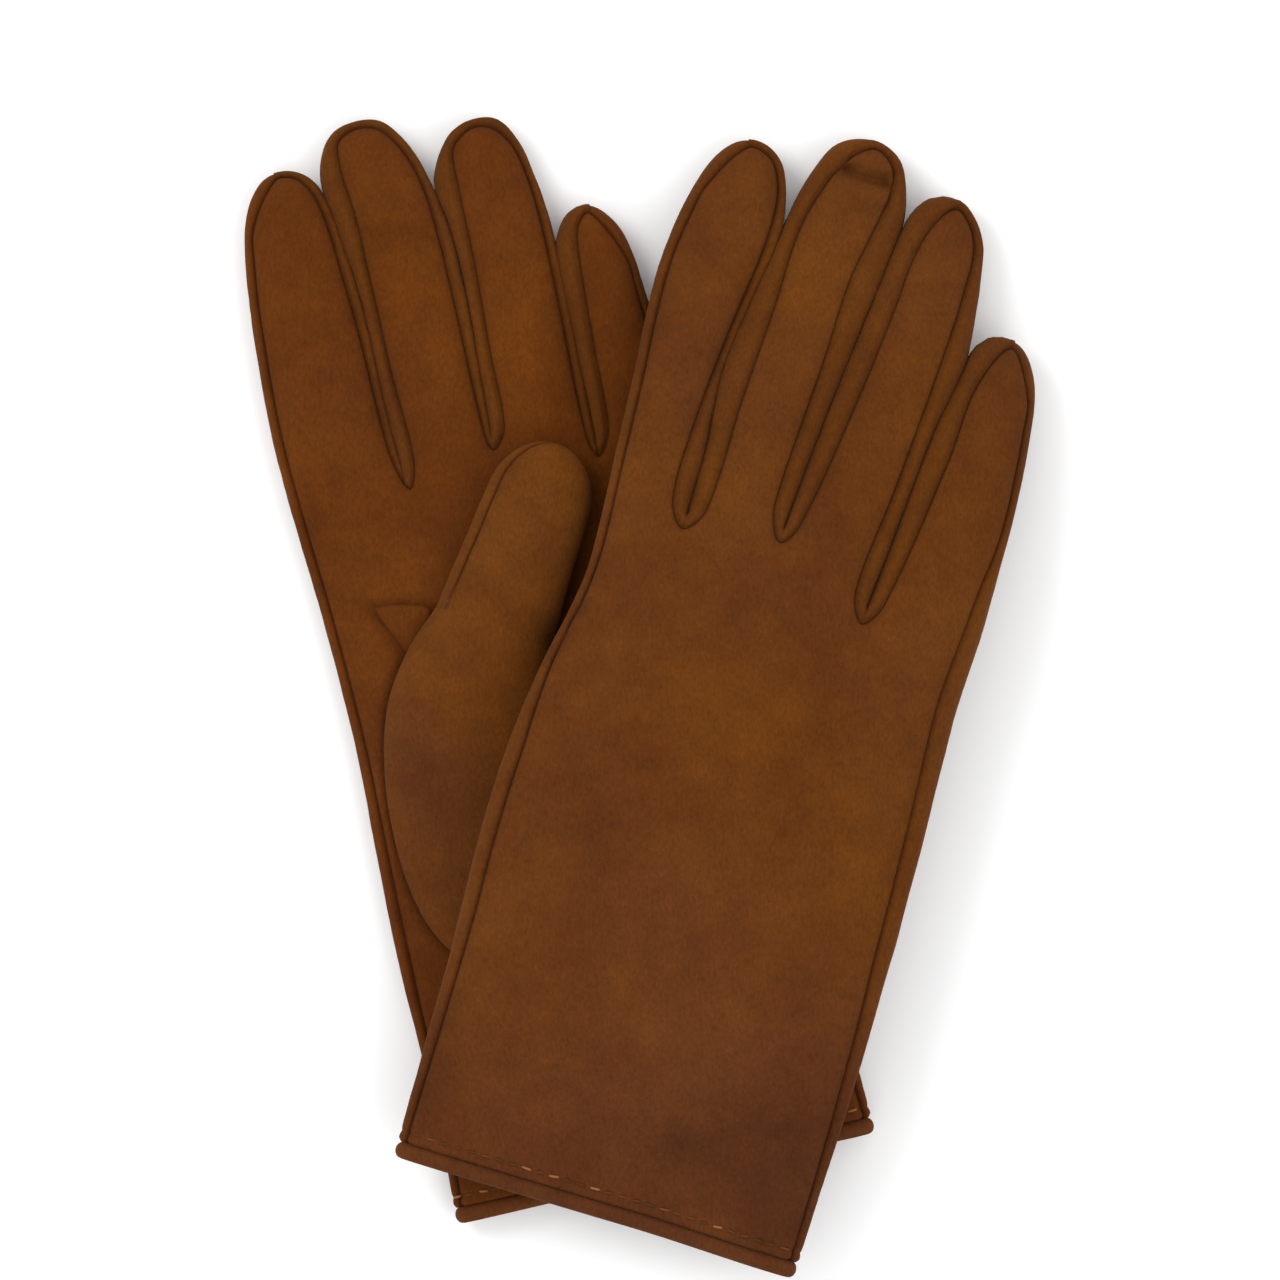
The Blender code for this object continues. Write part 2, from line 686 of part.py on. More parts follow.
def add_hand(glove, collection, cutters):
    name = glove["name"]
    pivot = add_pivot(name + "_hand_pivot", on_table(glove, 0.0, 0.0, 0.0), collection)
    place = (collection, pivot)
    mirrored = glove["palm_side"] < 0
    upper, lower = hand_columns(glove, True), hand_columns(glove, False)
    shells = {}
    for side, angles in ((glove["upper"], upper), (glove["lower"], lower)):
        panel = name + "_" + side + "_panel"
        shells[side] = add_shell(panel, hand_grid(glove, angles), place, SKIN)
    round_angles = upper[1:-1] + lower[1:-1]
    tube = hand_grid(glove, round_angles, LINING_INSET_HAND, LINING_START, FLEX_GAP)
    lining = add_shell(name + "_hand_lining", tube, place, LINING, closed=True)
    hole = add_cutter(name + "_thumb_hole", hole_outline(glove, 0.0), glove, cutters)
    cut(shells["palm"], hole)
    cut(lining, hole)
    notch = [on_table(glove, *corner, 0.0) for corner in quirk_corners(glove, NOTCH_GROW)]
    cut(shells["palm"], add_cutter(name + "_quirk_notch", notch, glove, cutters))
    add_shell(name + "_quirk", quirk_grid(glove), place, SKIN, mirrored)
    add_shell(name + "_thumb_heel", heel_grid(glove), place, SKIN, mirrored)
    add_binding(glove, place)


def main():
    clear_scene()
    collection = new_collection("suede_gloves")
    cutters = new_collection("cutters", hidden=True)
    for glove in (LEFT, RIGHT):
        add_hand(glove, collection, cutters)
        for number in range(len(FINGER_NAMES)):
            add_finger(glove, number, collection)
        add_thumb(glove, collection)


main()
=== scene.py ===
"""The looks of a pair of lined suede dress gloves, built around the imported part.

Each glove is drawn in its own plane, in millimetres: x runs across the hand from the index
finger's side, y from the cuff to the fingertips, and z is the height over the glove's middle
surface. on_table() turns that into the part's own frame, in metres. The outlines follow the
part's, with more points where the leather curves. Every sewn piece is a thin closed shell with
its edges turned in at the seams.
"""

import math
import random

import bpy
import numpy as np
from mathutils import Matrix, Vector, noise
from mathutils.geometry import delaunay_2d_cdt


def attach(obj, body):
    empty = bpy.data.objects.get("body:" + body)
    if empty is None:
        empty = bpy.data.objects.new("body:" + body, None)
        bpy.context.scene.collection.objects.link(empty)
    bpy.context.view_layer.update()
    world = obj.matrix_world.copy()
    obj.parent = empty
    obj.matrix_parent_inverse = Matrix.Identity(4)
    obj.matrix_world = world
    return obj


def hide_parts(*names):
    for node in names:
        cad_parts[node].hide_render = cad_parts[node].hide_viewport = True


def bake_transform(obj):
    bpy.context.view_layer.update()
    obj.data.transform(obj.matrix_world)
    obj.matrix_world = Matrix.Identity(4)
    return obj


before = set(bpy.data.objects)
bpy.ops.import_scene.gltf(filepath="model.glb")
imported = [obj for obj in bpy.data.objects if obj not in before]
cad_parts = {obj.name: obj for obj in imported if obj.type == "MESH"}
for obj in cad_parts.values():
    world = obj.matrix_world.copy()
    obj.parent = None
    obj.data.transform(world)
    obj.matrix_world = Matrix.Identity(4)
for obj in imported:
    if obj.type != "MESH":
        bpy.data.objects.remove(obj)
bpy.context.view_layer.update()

MM = 0.001
TURN = 2 * math.pi

# Leather and seams
SKIN = 0.62
SEAM_RADIUS = 1.05
SEAM_LEAN = 0.8
LINING_INSET_HAND = 2.1
LINING_INSET_FINGER = 1.7
LINING_DROP_FINGER = 2.5
LINING_THICKNESS = 0.4

# The leather's swell beside a seam: height, distance from the seam and spread
SHOULDER = (0.22, 2.6, 1.2)
# The dip along the row of stitches: depth and spread
STITCH_DIP = (0.28, 0.55)
# Ripples over the surface: height and size
LARGE_RIPPLE = (0.25, 26)
SMALL_RIPPLE = (0.13, 10)
FINE_RIPPLE = (0.05, 4.2)
THUMB_RIPPLE = 0.22

# Hand and cuff
HAND_HALF_HEIGHT = 5.9
CUFF_HALF_HEIGHT = 4.9
HAND_ROUNDNESS = 2.6
CUFF_END = -1.8
HEM = 1.9
ROLL_MIDDLE = (CUFF_END + HEM) / 2
HEM_GROOVE = 0.9
ROLL_INSET = 1.15
ROLL_HALF_SIZE = (1.9, 1.5)
CUFF_GIRTH = 205
STITCH_LINE = 4.4
STITCH_PITCH = 3.2
STITCH_LENGTH = 2.5
STITCH_SIDES = 8
THREAD_RADIUS = 0.29
TAN_STITCHES = 0.16

# Fingers
FINGER_HALF_HEIGHT = 6.1
FINGER_ROUNDNESS = 2.2
SHOULDER_LENGTH = 11.0
TIP_LENGTH = 21.0
TIP_RISE = 12.0
FINGER_NAMES = ("index", "middle", "ring", "little")
KNUCKLE_START = -14.0
KNUCKLE_END = 12.0
VALLEY_REACH = 18.0
GUSSET_ROUNDNESS = 2.7
SIDE_ROUNDNESS = 2.0
GUSSET_PUFF = 0.35
GUSSET_OVERLAP = 0.32
BEND_START = 0.8
BEND_END = 17.0

# Thumb
THUMB_HALF_HEIGHT = 5.0
THUMB_LENGTH = 44.0
THUMB_BASE_HALF_WIDTH = 14.0
THUMB_TIP_HALF_WIDTH = 12.0
THUMB_CLEARANCE = 0.5
THUMB_TIP_LENGTH = 14.0
THUMB_TIP_RISE = 9.0
THUMB_LINING_STRAIGHT = 30.0
THUMB_LINING_TIP = 12.6
THUMB_ROOT_ROUNDNESS = 2.3
THUMB_BEND = (0.5, 14.0)
THUMB_OPENING = 10.0
THUMB_SEAM_INSET = 2.2
HEEL_PUFF = 1.7
HEEL_LEFT = ((-29, 54), (-36, 60), (-40.4, 70), (-42.4, 84), (-41.2, 101), (-36.8, 117),
             (-29.4, 128.5))
HEEL_RIGHT = ((-29, 54), (-17, 57), (-9, 66), (-4.5, 80), (-2, 95), (0.5, 108), (2.4, 116.5))
QUIRK = ((-35.2, 140.6), (-28.5, 139.8), (-21.6, 136.9), (-24.6, 131.8), (-28.6, 127.2),
         (-32.3, 133.4))

# Heights of the two gloves' middle surfaces over the table
LOWER_MIDDLE = 5.5
UPPER_CUFF = 17.6
UPPER_HAND = 28.2
UPPER_TIPS = 6.5
UPPER_EDGE_SAG = 5.0

# Mesh density
STEP = 0.8
SPACING = 1.5
LOWER_SPACING = SPACING * 1.15
QUIRK_SPACING = 0.9
RINGS = (0.14, 0.4, 0.8, 1.3, 2.1)

# Where each surface's noise starts
UPPER_SEED = 1
LOWER_SEED = 21
GUSSET_SEED = 30
HEEL_SEED = 41
THUMB_SEED = 43
BINDING_SEED = 51

# Darker and lighter nap, from the darkest tone to the lightest
TONES = ((0.0, (0.66, 0.655, 1.25)), (0.35, (0.916, 0.929, 1.5)), (1.0, (1.066, 1.062, 0.62)))

# The two gloves. seams: each finger's seam on the upper side, from its left root to its tip and
# down to its right root. The outer sides of the index and little fingers follow the side seam.
# dents: soft creases from one point to another, with their depth and width; their depth also paints shade
# into them.
# marks: darker places in the nap: centre, half sizes and strength.
LEFT = {
    "name": "left",
    "upper": "palm",
    "lower": "back",
    "palm_side": 1,
    "turn": math.radians(-13.5),
    "origin": (6.09, -109.0),
    "cuff_slant": 1.8,
    "sides": (
        ((-48.6, -2), (-47.6, 20), (-47.8, 60), (-46.8, 88), (-45.8, 112), (-46.3, 140), (-47.4, 162),
         (-48.0, 182), (-46.9, 202)),
        ((49.0, -2), (47.9, 40), (47.4, 90), (46.8, 130), (46.4, 150), (44.9, 172), (43.3, 190)),
    ),
    "valleys": (
        ((-20.7, 167.5), (-21.1, 185), (-20.9, 208), (-22.3, 226)),
        ((0.8, 171.5), (1.8, 188), (2.9, 208), (2.6, 221)),
        ((23.6, 164.8), (24.5, 186), (25.3, 209)),
    ),
    "caps": (
        ((-45.2, 219), (-42.0, 233.5), (-36.8, 240.8), (-30.2, 241.4), (-24.9, 237.2)),
        ((-23.2, 238.6), (-19.8, 246.5), (-13.0, 248.9), (-6.7, 247.5), (-2.0, 240.0), (0.8, 230.6)),
        ((2.0, 232), (7.2, 240.8), (13.5, 243.2), (19.4, 241.6), (23.4, 231.0)),
        ((27.4, 214.8), (32.0, 218.4), (37.2, 216.8), (41.4, 209.5)),
    ),
    "side_insets": (((0, 1.2), (60, 2.4), (120, 1.8), (180, 1.9), (235, 1.6)),
                    ((0, 1.2), (60, 2.8), (130, 3.0), (180, 1.6), (215, 1.5))),
    "root_edges": (-46.6, -20.8, 0.4, 23.4, 46.2),
    "tip_edges": (-46.2, -21.8, 2.2, 25.2, 42.6),
    "roots": (168.0, 172.5, 172.5, 165.0),
    "tips": (241.5, 248.7, 242.8, 218.0),
    "crotches": ((-20.0, 164.7), (0.6, 169.0), (23.7, 162.0)),
    "seams": (
        ((), (-33.5, 240.8), ((-29.0, 240.1), (-26.0, 236.2), (-24.4, 230), (-23.6, 219),
                              (-22.9, 203), (-22.4, 174))),
        (((-17.9, 171), (-18.2, 190), (-18.0, 212), (-17.9, 228), (-18.7, 239), (-17.7, 245.6)),
         (-13.4, 247.8),
         ((-8.8, 247.1), (-5.6, 244.2), (-3.0, 239.4), (-1.3, 234), (-0.2, 226), (0.1, 208),
          (-0.3, 177))),
        (((3.9, 173), (4.8, 190), (6.1, 212), (6.6, 229), (7.5, 238)), (12.6, 241.8),
         ((17.2, 241.0), (20.7, 237.0), (22.5, 231), (23.5, 221), (23.5, 206), (22.4, 168))),
        (((27.0, 167), (28.3, 187), (29.6, 206), (31.0, 213.8)), (34.6, 216.8), ()),
    ),
    "dents": (
        ((-16, 224.5), (-3, 221.0), 0.75, 2.0),
        ((-15, 219.5), (-5, 217.5), 0.5, 1.7),
        ((-40, 200), (-29, 203), 0.25, 2.6),
        ((8, 212), (19, 209), 0.22, 2.4),
        ((-38, 150), (-22, 158), 0.35, 5.0),
    ),
    "marks": (
        (-34.8, 104, 9, 12, 0.5),
        (-17.6, 122.6, 3.5, 3, 0.3),
        (-30, 80, 14, 26, 0.3),
    ),
    "thumb_root": (-8.5, 129.5),
    "thumb_angle": math.radians(33),
}
RIGHT = {
    "name": "right",
    "upper": "back",
    "lower": "palm",
    "palm_side": -1,
    "turn": math.radians(16.5),
    "origin": (-9.01, -117.4),
    "cuff_slant": 1.0,
    "sides": (
        ((-47.3, -2), (-47.8, 25), (-48.4, 50), (-49.5, 76), (-49.2, 96), (-47.2, 113), (-44.2, 129),
         (-43.0, 140), (-44.2, 162), (-45.6, 184), (-47.1, 203)),
        ((47.2, -2), (47.9, 40), (48.1, 66), (47.2, 105), (46.1, 129), (46.5, 150), (46.4, 172),
         (45.4, 190)),
    ),
    "valleys": (
        ((-25.0, 157.0), (-25.3, 172), (-26.7, 190), (-25.2, 206), (-22.9, 224)),
        ((-3.2, 160.0), (-2.4, 172), (-0.6, 193), (1.2, 211), (3.1, 229)),
        ((19.8, 149.0), (21.3, 166), (23.2, 190), (25.9, 206)),
    ),
    "caps": (
        ((-47.0, 216), (-44.0, 233), (-39.0, 241.8), (-32.0, 243.2), (-26.4, 238.5)),
        ((-20.5, 237.8), (-16.3, 247.9), (-9.2, 251.2), (-1.8, 248.7), (2.4, 240.2)),
        ((5.2, 238.8), (9.6, 243.4), (16.2, 242.7), (22.3, 234.4), (25.1, 218)),
        ((27.8, 213.4), (32.5, 216.4), (38.6, 214.6), (43.2, 206.5)),
    ),
    "side_insets": (((0, 1.2), (60, 3.0), (95, 3.4), (122, 1.1), (150, 1.6), (235, 2.2)),
                    ((0, 1.2), (30, 2.0), (70, 3.6), (135, 4.4), (158, 3.2), (172, 1.4), (212, 1.5))),
    "root_edges": (-44.8, -25.0, -3.2, 20.2, 46.0),
    "tip_edges": (-46.0, -23.4, 3.0, 25.6, 44.6),
    "roots": (158.0, 161.5, 160.0, 150.0),
    "tips": (243.0, 251.0, 243.2, 216.3),
    "crotches": ((-25.2, 153.8), (-3.2, 157.0), (19.6, 144.6)),
    "seams": (
        ((), (-35.6, 242.0), ((-29.8, 241.0), (-26.8, 236.6), (-25.3, 230), (-25.4, 219), (-27.6, 199),
                              (-29.2, 175), (-28.8, 159))),
        (((-21.5, 159), (-20.8, 185), (-19.7, 208), (-19.2, 227), (-16.0, 239.5), (-12.0, 246.8)),
         (-7.6, 249.9),
         ((-3.6, 248.2), (-1.3, 244.2), (-1.3, 238), (-2.6, 230), (-4.4, 218), (-4.9, 200),
          (-6.4, 170), (-6.0, 162))),
        (((-0.2, 162), (4.0, 190), (6.6, 214), (7.6, 228), (10.0, 237)), (14.2, 242.0),
         ((18.6, 238.8), (20.9, 233.6), (21.4, 226), (21.0, 210), (18.6, 175), (16.6, 151))),
        (((23.0, 150), (27.9, 185), (29.6, 204)), (35.2, 214.8), ()),
    ),
    "dents": (
        ((-12.2, 243.6), (-3.0, 243.2), 2.1, 1.6),
        ((-10, 235.5), (-4, 236.5), 0.35, 2.4),
        ((9.5, 221), (17, 224), 0.4, 2.4),
        ((-33, 147), (-18, 149.5), 0.5, 3.6),
        ((-8, 151), (3, 152.5), 0.28, 3.2),
        ((13, 139), (24, 140), 0.3, 3.4),
        ((-46, 121), (-36, 127), 0.7, 2.2),
        ((-46, 131), (-39, 129), 0.45, 2.0),
        ((-30, 88), (18, 97), 0.3, 10.0),
    ),
    "marks": (
        (-8, 60, 30, 26, 0.16),
        (27, 25, 26, 28, 0.42),
        (30.2, 22.5, 8, 6, 0.2),
        (38.2, 11.5, 8, 9, 0.22),
        (14, 19.6, 9, 6, 0.2),
    ),
    "thumb_root": (-10.0, 121.0),
    "thumb_angle": math.radians(40),
}


# ---------------------------------------------------------------- small maths

def smooth(start, end, value):
    """0 before start, 1 after end, and an even S between them."""
    t = np.clip((np.asarray(value, float) - start) / (end - start), 0.0, 1.0)
    return t * t * (3 - 2 * t)


def mix(a, b, t):
    return a + (b - a) * t


def unit(vectors):
    return vectors / np.maximum(np.linalg.norm(vectors, axis=-1, keepdims=True), 1e-9)


def arch(share, roundness):
    """Height of a superellipse of height 1 at a share of its half width."""
    return (1 - np.clip(np.abs(share), 0, 0.9999) ** roundness) ** (1 / roundness)


def rounded(wave, roundness):
    """A sine or cosine bent from an ellipse's towards a superellipse's."""
    return np.sign(wave) * np.abs(wave) ** (2 / roundness)


def closing(distance, start, reach, least=0.0):
    """1 up to start and a quarter ellipse down to 0 over the reach after it."""
    return math.sqrt(max(1 - max((distance - start) / reach, 0) ** 2, least))


def bell(offset, spread):
    return np.exp(-(offset / spread) ** 2)


def looped(outline):
    """An outline with its first point again at its end."""
    return np.concatenate((outline, outline[:1]))


def lengths_along(line):
    steps = np.linalg.norm(np.diff(line, axis=0), axis=1)
    return np.concatenate(([0.0], np.cumsum(steps)))


def resample(line, step):
    """The same line with points at even steps."""
    along = lengths_along(line)
    count = max(int(round(along[-1] / step)), 2)
    return sample_at(line, np.linspace(0, along[-1], count + 1))


def sample_at(line, places):
    along = lengths_along(line)
    return np.stack([np.interp(places, along, line[:, k]) for k in range(line.shape[1])], axis=1)


def curve_through(points):
    """A dense smooth curve through the points, and the index of each of them on it."""
    p = np.array(points, float)
    t = lengths_along(p)
    slopes = np.diff(p, axis=0) / np.diff(t)[:, None]
    tangents = np.empty_like(p)
    tangents[0], tangents[-1] = slopes[0], slopes[-1]
    before, after = np.diff(t)[:-1, None], np.diff(t)[1:, None]
    tangents[1:-1] = (slopes[:-1] * before + slopes[1:] * after) / (before + after)
    dense, where = [p[:1]], [0]
    for i in range(len(p) - 1):
        span = t[i + 1] - t[i]
        s = np.linspace(0, 1, max(int(span / 0.2), 8) + 1)[1:, None]
        start = p[i] * (2 * s ** 3 - 3 * s ** 2 + 1) + tangents[i] * span * (s ** 3 - 2 * s ** 2 + s)
        end = p[i + 1] * (3 * s ** 2 - 2 * s ** 3) + tangents[i + 1] * span * (s ** 3 - s ** 2)
        dense.append(start + end)
        where.append(where[-1] + len(s))
    return np.concatenate(dense), where


def nearest_on(points, line):
    """The nearest place on a line of points to each point, all in the plane."""
    starts, spans = line[:-1], np.diff(line, axis=0)
    squares = np.maximum((spans ** 2).sum(1), 1e-12)
    found = []
    for first in range(0, len(points), 1500):
        here = points[first:first + 1500]
        offset = here[:, None, :] - starts[None]
        t = np.clip((offset * spans).sum(2) / squares, 0, 1)
        gap = offset - t[..., None] * spans
        best = (gap ** 2).sum(2).argmin(1)
        found.append(here - gap[np.arange(len(here)), best])
    return np.concatenate(found)


def distance_to(points, line):
    """Distance of each point from a line of points, all in the plane."""
    return np.linalg.norm(points - nearest_on(points, line), axis=1)


def inside(points, outline):
    """Which points lie inside a closed outline."""
    x, y = points[:, 0], points[:, 1]
    found = np.zeros(len(points), bool)
    for (x0, y0), (x1, y1) in zip(outline, np.roll(outline, -1, axis=0)):
        if y0 != y1:
            crosses = (y0 > y) != (y1 > y)
            found ^= crosses & (x < x0 + (y - y0) * (x1 - x0) / (y1 - y0))
    return found


def waves(points, size, seed):
    """Smooth noise between about -1 and 1 at each point, with features of a size."""
    shift = Vector((seed * 17.3, seed * 5.1, seed * 9.7))
    return np.array([noise.noise(Vector(p) / size + shift) for p in points])


# ---------------------------------------------------------------- the glove's surface

def middle_height(glove, x, y):
    """Height over the table of the glove's middle surface."""
    if glove is LEFT:
        return np.full(np.shape(x), LOWER_MIDDLE)
    rise = mix(UPPER_CUFF, UPPER_HAND, smooth(0, 58, y))
    fall = smooth(152, 246, y + 16 * smooth(20, 46, x))
    held = smooth(20, 70, y) * (1 - smooth(150, 205, y))
    sag = UPPER_EDGE_SAG * smooth(26, 47, x) * held
    return mix(rise - sag, UPPER_TIPS, fall)


def on_table(glove, points):
    """Points of the glove's own plane, in millimetres, in the part's frame, in metres."""
    x, y, z = points[:, 0], points[:, 1], points[:, 2]
    y = y - glove["cuff_slant"] * smooth(8, 48, x) * (1 - smooth(5, 45, y))
    cos, sin = math.cos(glove["turn"]), math.sin(glove["turn"])
    world_x = glove["origin"][0] + x * cos + y * sin
    world_y = glove["origin"][1] - x * sin + y * cos
    world_z = np.maximum(middle_height(glove, x, y) + z, 0.0)
    return np.stack([world_x, world_y, world_z], axis=1) * MM


def hand_edge(glove, y, side):
    """Half width of the hand on its index side (-1) or its little finger's side (1)."""
    line = glove["side_lines"][0 if side < 0 else 1]
    return np.interp(y, line[:, 1], np.abs(line[:, 0]))


def hand_height(y):
    return mix(CUFF_HALF_HEIGHT, HAND_HALF_HEIGHT, smooth(0, 45, y))


def hand_share(glove, x, y):
    edge = np.where(x < 0, hand_edge(glove, y, -1), hand_edge(glove, y, 1))
    return np.abs(x) / edge


def finger_frame(glove, number):
    """Root, directions and sizes of a finger."""
    left, right = glove["root_edges"][number:number + 2]
    tip_left, tip_right = glove["tip_edges"][number:number + 2]
    root = np.array(((left + right) / 2, glove["roots"][number]))
    shoulder = np.array(((tip_left + tip_right) / 2, glove["tips"][number] - SHOULDER_LENGTH))
    along = unit(shoulder - root)
    return {
        "root": root,
        "along": along,
        "across": np.array((along[1], -along[0])),
        "length": np.linalg.norm(shoulder - root) + SHOULDER_LENGTH,
        "half_widths": ((right - left) / 2 * along[1], (tip_right - tip_left) / 2),
    }


def tip_taper(finger, distance, reach):
    """1 along the finger and an elliptical fall to 0 over the last stretch before its tip."""
    t = np.clip((distance - finger["length"] + reach) / reach, 0, 1)
    return np.sqrt(1 - t ** 2)


def finger_half_width(finger, distance):
    wide, narrow = finger["half_widths"]
    straight = finger["length"] - SHOULDER_LENGTH
    width = mix(wide, narrow, np.clip(distance / straight, 0, 1))
    return np.maximum(width * tip_taper(finger, distance, TIP_LENGTH), 0.05)


def finger_spot(finger, distance, across):
    """Plan position at a distance from the root and a distance across the finger."""
    forward, sideways = finger["along"], finger["across"]
    return finger["root"] + np.multiply.outer(distance, forward) + np.multiply.outer(across, sideways)


def finger_place(finger, x, y):
    dx, dy = x - finger["root"][0], y - finger["root"][1]
    along, across = finger["along"], finger["across"]
    return dx * along[0] + dy * along[1], dx * across[0] + dy * across[1]


def surface_height(glove, x, y):
    """Height of the leather over the middle surface: a dome over the hand, a crown over each finger."""
    plan = np.stack([x, y], axis=1)
    owner, distance = nearest_finger(glove, plan)
    share, knuckle = np.zeros(len(plan)), smooth(KNUCKLE_START, KNUCKLE_END, distance)
    for number, finger in enumerate(glove["frames"]):
        mine = (owner == number) & (knuckle > 0)
        if mine.any():
            straight = finger["length"] - SHOULDER_LENGTH
            wide = mix(*finger["half_widths"], np.clip(distance[mine] / straight, 0, 1))
            gap = distance_to(plan[mine], glove["finger_lines"][number])
            share[mine] = 1 - np.clip(gap / wide, 0.0001, 1)
    dome = mix(arch(hand_share(glove, x, y), HAND_ROUNDNESS), 1.0, knuckle)
    high = mix(hand_height(y), FINGER_HALF_HEIGHT, knuckle)
    crown = (1 - knuckle * share ** FINGER_ROUNDNESS) ** (1 / FINGER_ROUNDNESS)
    return high * dome * crown


# ---------------------------------------------------------------- outlines

def outline_of(glove, number, stretched=False):
    """The silhouette of a finger, up its left side, round its tip and down its right side.

    stretched carries the valleys between the fingers on into the hand.
    """
    left = glove["valleys"][number - 1] if number > 0 else glove["sides"][0]
    right = glove["valleys"][number] if number < 3 else glove["sides"][1]
    dense, _ = curve_through(list(left) + list(glove["caps"][number]) + list(reversed(right)))
    line = resample(dense, 1.0)
    if stretched:
        ends = line[[0, -1]] - (0, VALLEY_REACH)
        line = np.concatenate((ends[:1], line, ends[1:]))
    return line


def side_seam(glove, number):
    """Points of the side seam, from the cuff to near the tip of the outer finger."""
    line = glove["outlines"][number] if number == 0 else glove["outlines"][number][::-1]
    tip = glove["tips"][number]
    line = line[:np.argmax(line[:, 1] > tip - 6)]
    inset = np.interp(line[:, 1], *zip(*glove["side_insets"][0 if number == 0 else 1]))
    inward = normals_out(line) * (-1 if number == 0 else 1)
    points = (line + inward * inset[:, None])[::9]
    points[0, 1] = HEM
    return [tuple(point) for point in points if point[1] == HEM or point[1] > HEM + 4]


def seam_parts(glove):
    """The upper seam from the cuff's left end round every finger to its right end, in eight parts."""
    points, marks = side_seam(glove, 0), [0]
    for number, (left, tip, right) in enumerate(glove["seams"]):
        points += list(left)
        marks.append(len(points))
        points.append(tip)
        points += list(right)
        if number < 3:
            marks.append(len(points))
            points.append(glove["crotches"][number])
    points += reversed(side_seam(glove, 3))
    marks.append(len(points) - 1)
    dense, where = curve_through(points)
    return [resample(dense[where[a]:where[b] + 1], STEP) for a, b in zip(marks, marks[1:])]


def seam_directions(glove, line, number):
    """The way out of the glove at each point of a finger's upper seam: sideways and up."""
    side = unit(nearest_on(line, glove["outlines"][number]) - line)
    return unit(np.column_stack((side * SEAM_LEAN, np.ones(len(line)))))


def all_seams(glove, parts):
    """Every point of the upper seam, and the way out of the glove there."""
    ways = [seam_directions(glove, part, index // 2) for index, part in enumerate(parts)]
    return np.concatenate(parts), np.concatenate(ways)


def leaning(normals, distance, plan, seams, upward=1):
    """Normals that turn, close to a seam, into the seam's own way out, shared by both its edges."""
    places, ways = seams
    near = np.nonzero(distance < SEAM_RADIUS)[0]
    nearest = np.array([((places - plan[i]) ** 2).sum(1).argmin() for i in near], int)
    shared = ways[nearest] * (1, 1, upward)
    share = smooth(0, SEAM_RADIUS, distance[near])[:, None]
    result = normals.copy()
    result[near] = unit(mix(shared, normals[near], share))
    return result


def normals_out(line):
    """Directions away from the leather along a seam that keeps the leather on its right."""
    along = unit(np.gradient(line, axis=0))
    return np.stack([-along[:, 1], along[:, 0]], axis=1)


# ---------------------------------------------------------------- surfaces

def plan_mesh(outline, spacing=SPACING):
    """Points and triangles that fill an outline, with rows of points just inside its border."""
    area = np.sum(outline[:, 0] * np.roll(outline[:, 1], -1) - np.roll(outline[:, 0], -1) * outline[:, 1])
    ring = np.concatenate((outline[-1:], outline, outline[:1]))
    inward = -normals_out(ring)[1:-1] * (-1 if area > 0 else 1)
    border = looped(outline)
    sets = [outline]
    for reach in RINGS:
        near = outline + inward * reach
        sets.append(near[(distance_to(near, border) > 0.9 * reach) & inside(near, outline)])
    low, high = outline.min(0), outline.max(0)
    rows = np.arange(low[1], high[1], spacing * math.sqrt(0.75))
    columns = np.arange(low[0], high[0], spacing)
    grid = np.array([(x + (j % 2) * spacing / 2, y) for j, y in enumerate(rows) for x in columns])
    grid = grid[inside(grid, outline)]
    sets.append(grid[distance_to(grid, border) > RINGS[-1] + 0.45 * spacing])
    points = np.concatenate(sets)
    result = delaunay_2d_cdt([Vector(p) for p in points], [], [list(range(len(outline)))], 1, 1e-6)
    flat = np.array([tuple(v) for v in result[0]])
    return flat, np.array(result[2])


def grid_triangles(rows, columns, closed=False):
    """Triangles between rows of points; closed joins the last column to the first."""
    last = columns if closed else columns - 1
    i, j = np.meshgrid(np.arange(rows - 1), np.arange(last), indexing="ij")
    a, b = (i * columns + j).ravel(), (i * columns + (j + 1) % columns).ravel()
    c, d = a + columns, b + columns
    return np.concatenate((np.stack([a, b, d], 1), np.stack([a, d, c], 1)))


def vertex_normals(points, triangles):
    a, b, c = (points[triangles[:, k]] for k in range(3))
    faces = np.cross(b - a, c - a)
    total = np.zeros_like(points)
    for k in range(3):
        np.add.at(total, triangles[:, k], faces)
    return unit(total)


def faced(points, triangles, outward):
    """The triangles, turned over if they face against one outward direction, or one a point."""
    a, b, c = (points[triangles[:, k]] for k in range(3))
    outward = np.broadcast_to(outward, points.shape)
    agree = (np.cross(b - a, c - a) * outward[triangles[:, 0]]).sum()
    return triangles if agree > 0 else triangles[:, ::-1]


def welded(points, triangles, values):
    """Points at the same place joined; each keeps the smallest of its values."""
    keys, first, inverse = np.unique(np.round(points, 3), axis=0, return_index=True, return_inverse=True)
    inverse = inverse.reshape(-1)
    least = np.full(len(keys), 99.0)
    np.minimum.at(least, inverse, values)
    joined = inverse[triangles]
    good = (joined[:, 0] != joined[:, 1]) & (joined[:, 1] != joined[:, 2]) & (joined[:, 0] != joined[:, 2])
    return points[first], joined[good], least


def turned_in(distance, radius):
    """How far leather turns in at a seam, by its distance from the seam."""
    near = np.clip(1 - distance / radius, 0, 1)
    return radius * (1 - np.sqrt(1 - 0.93 * near ** 2))


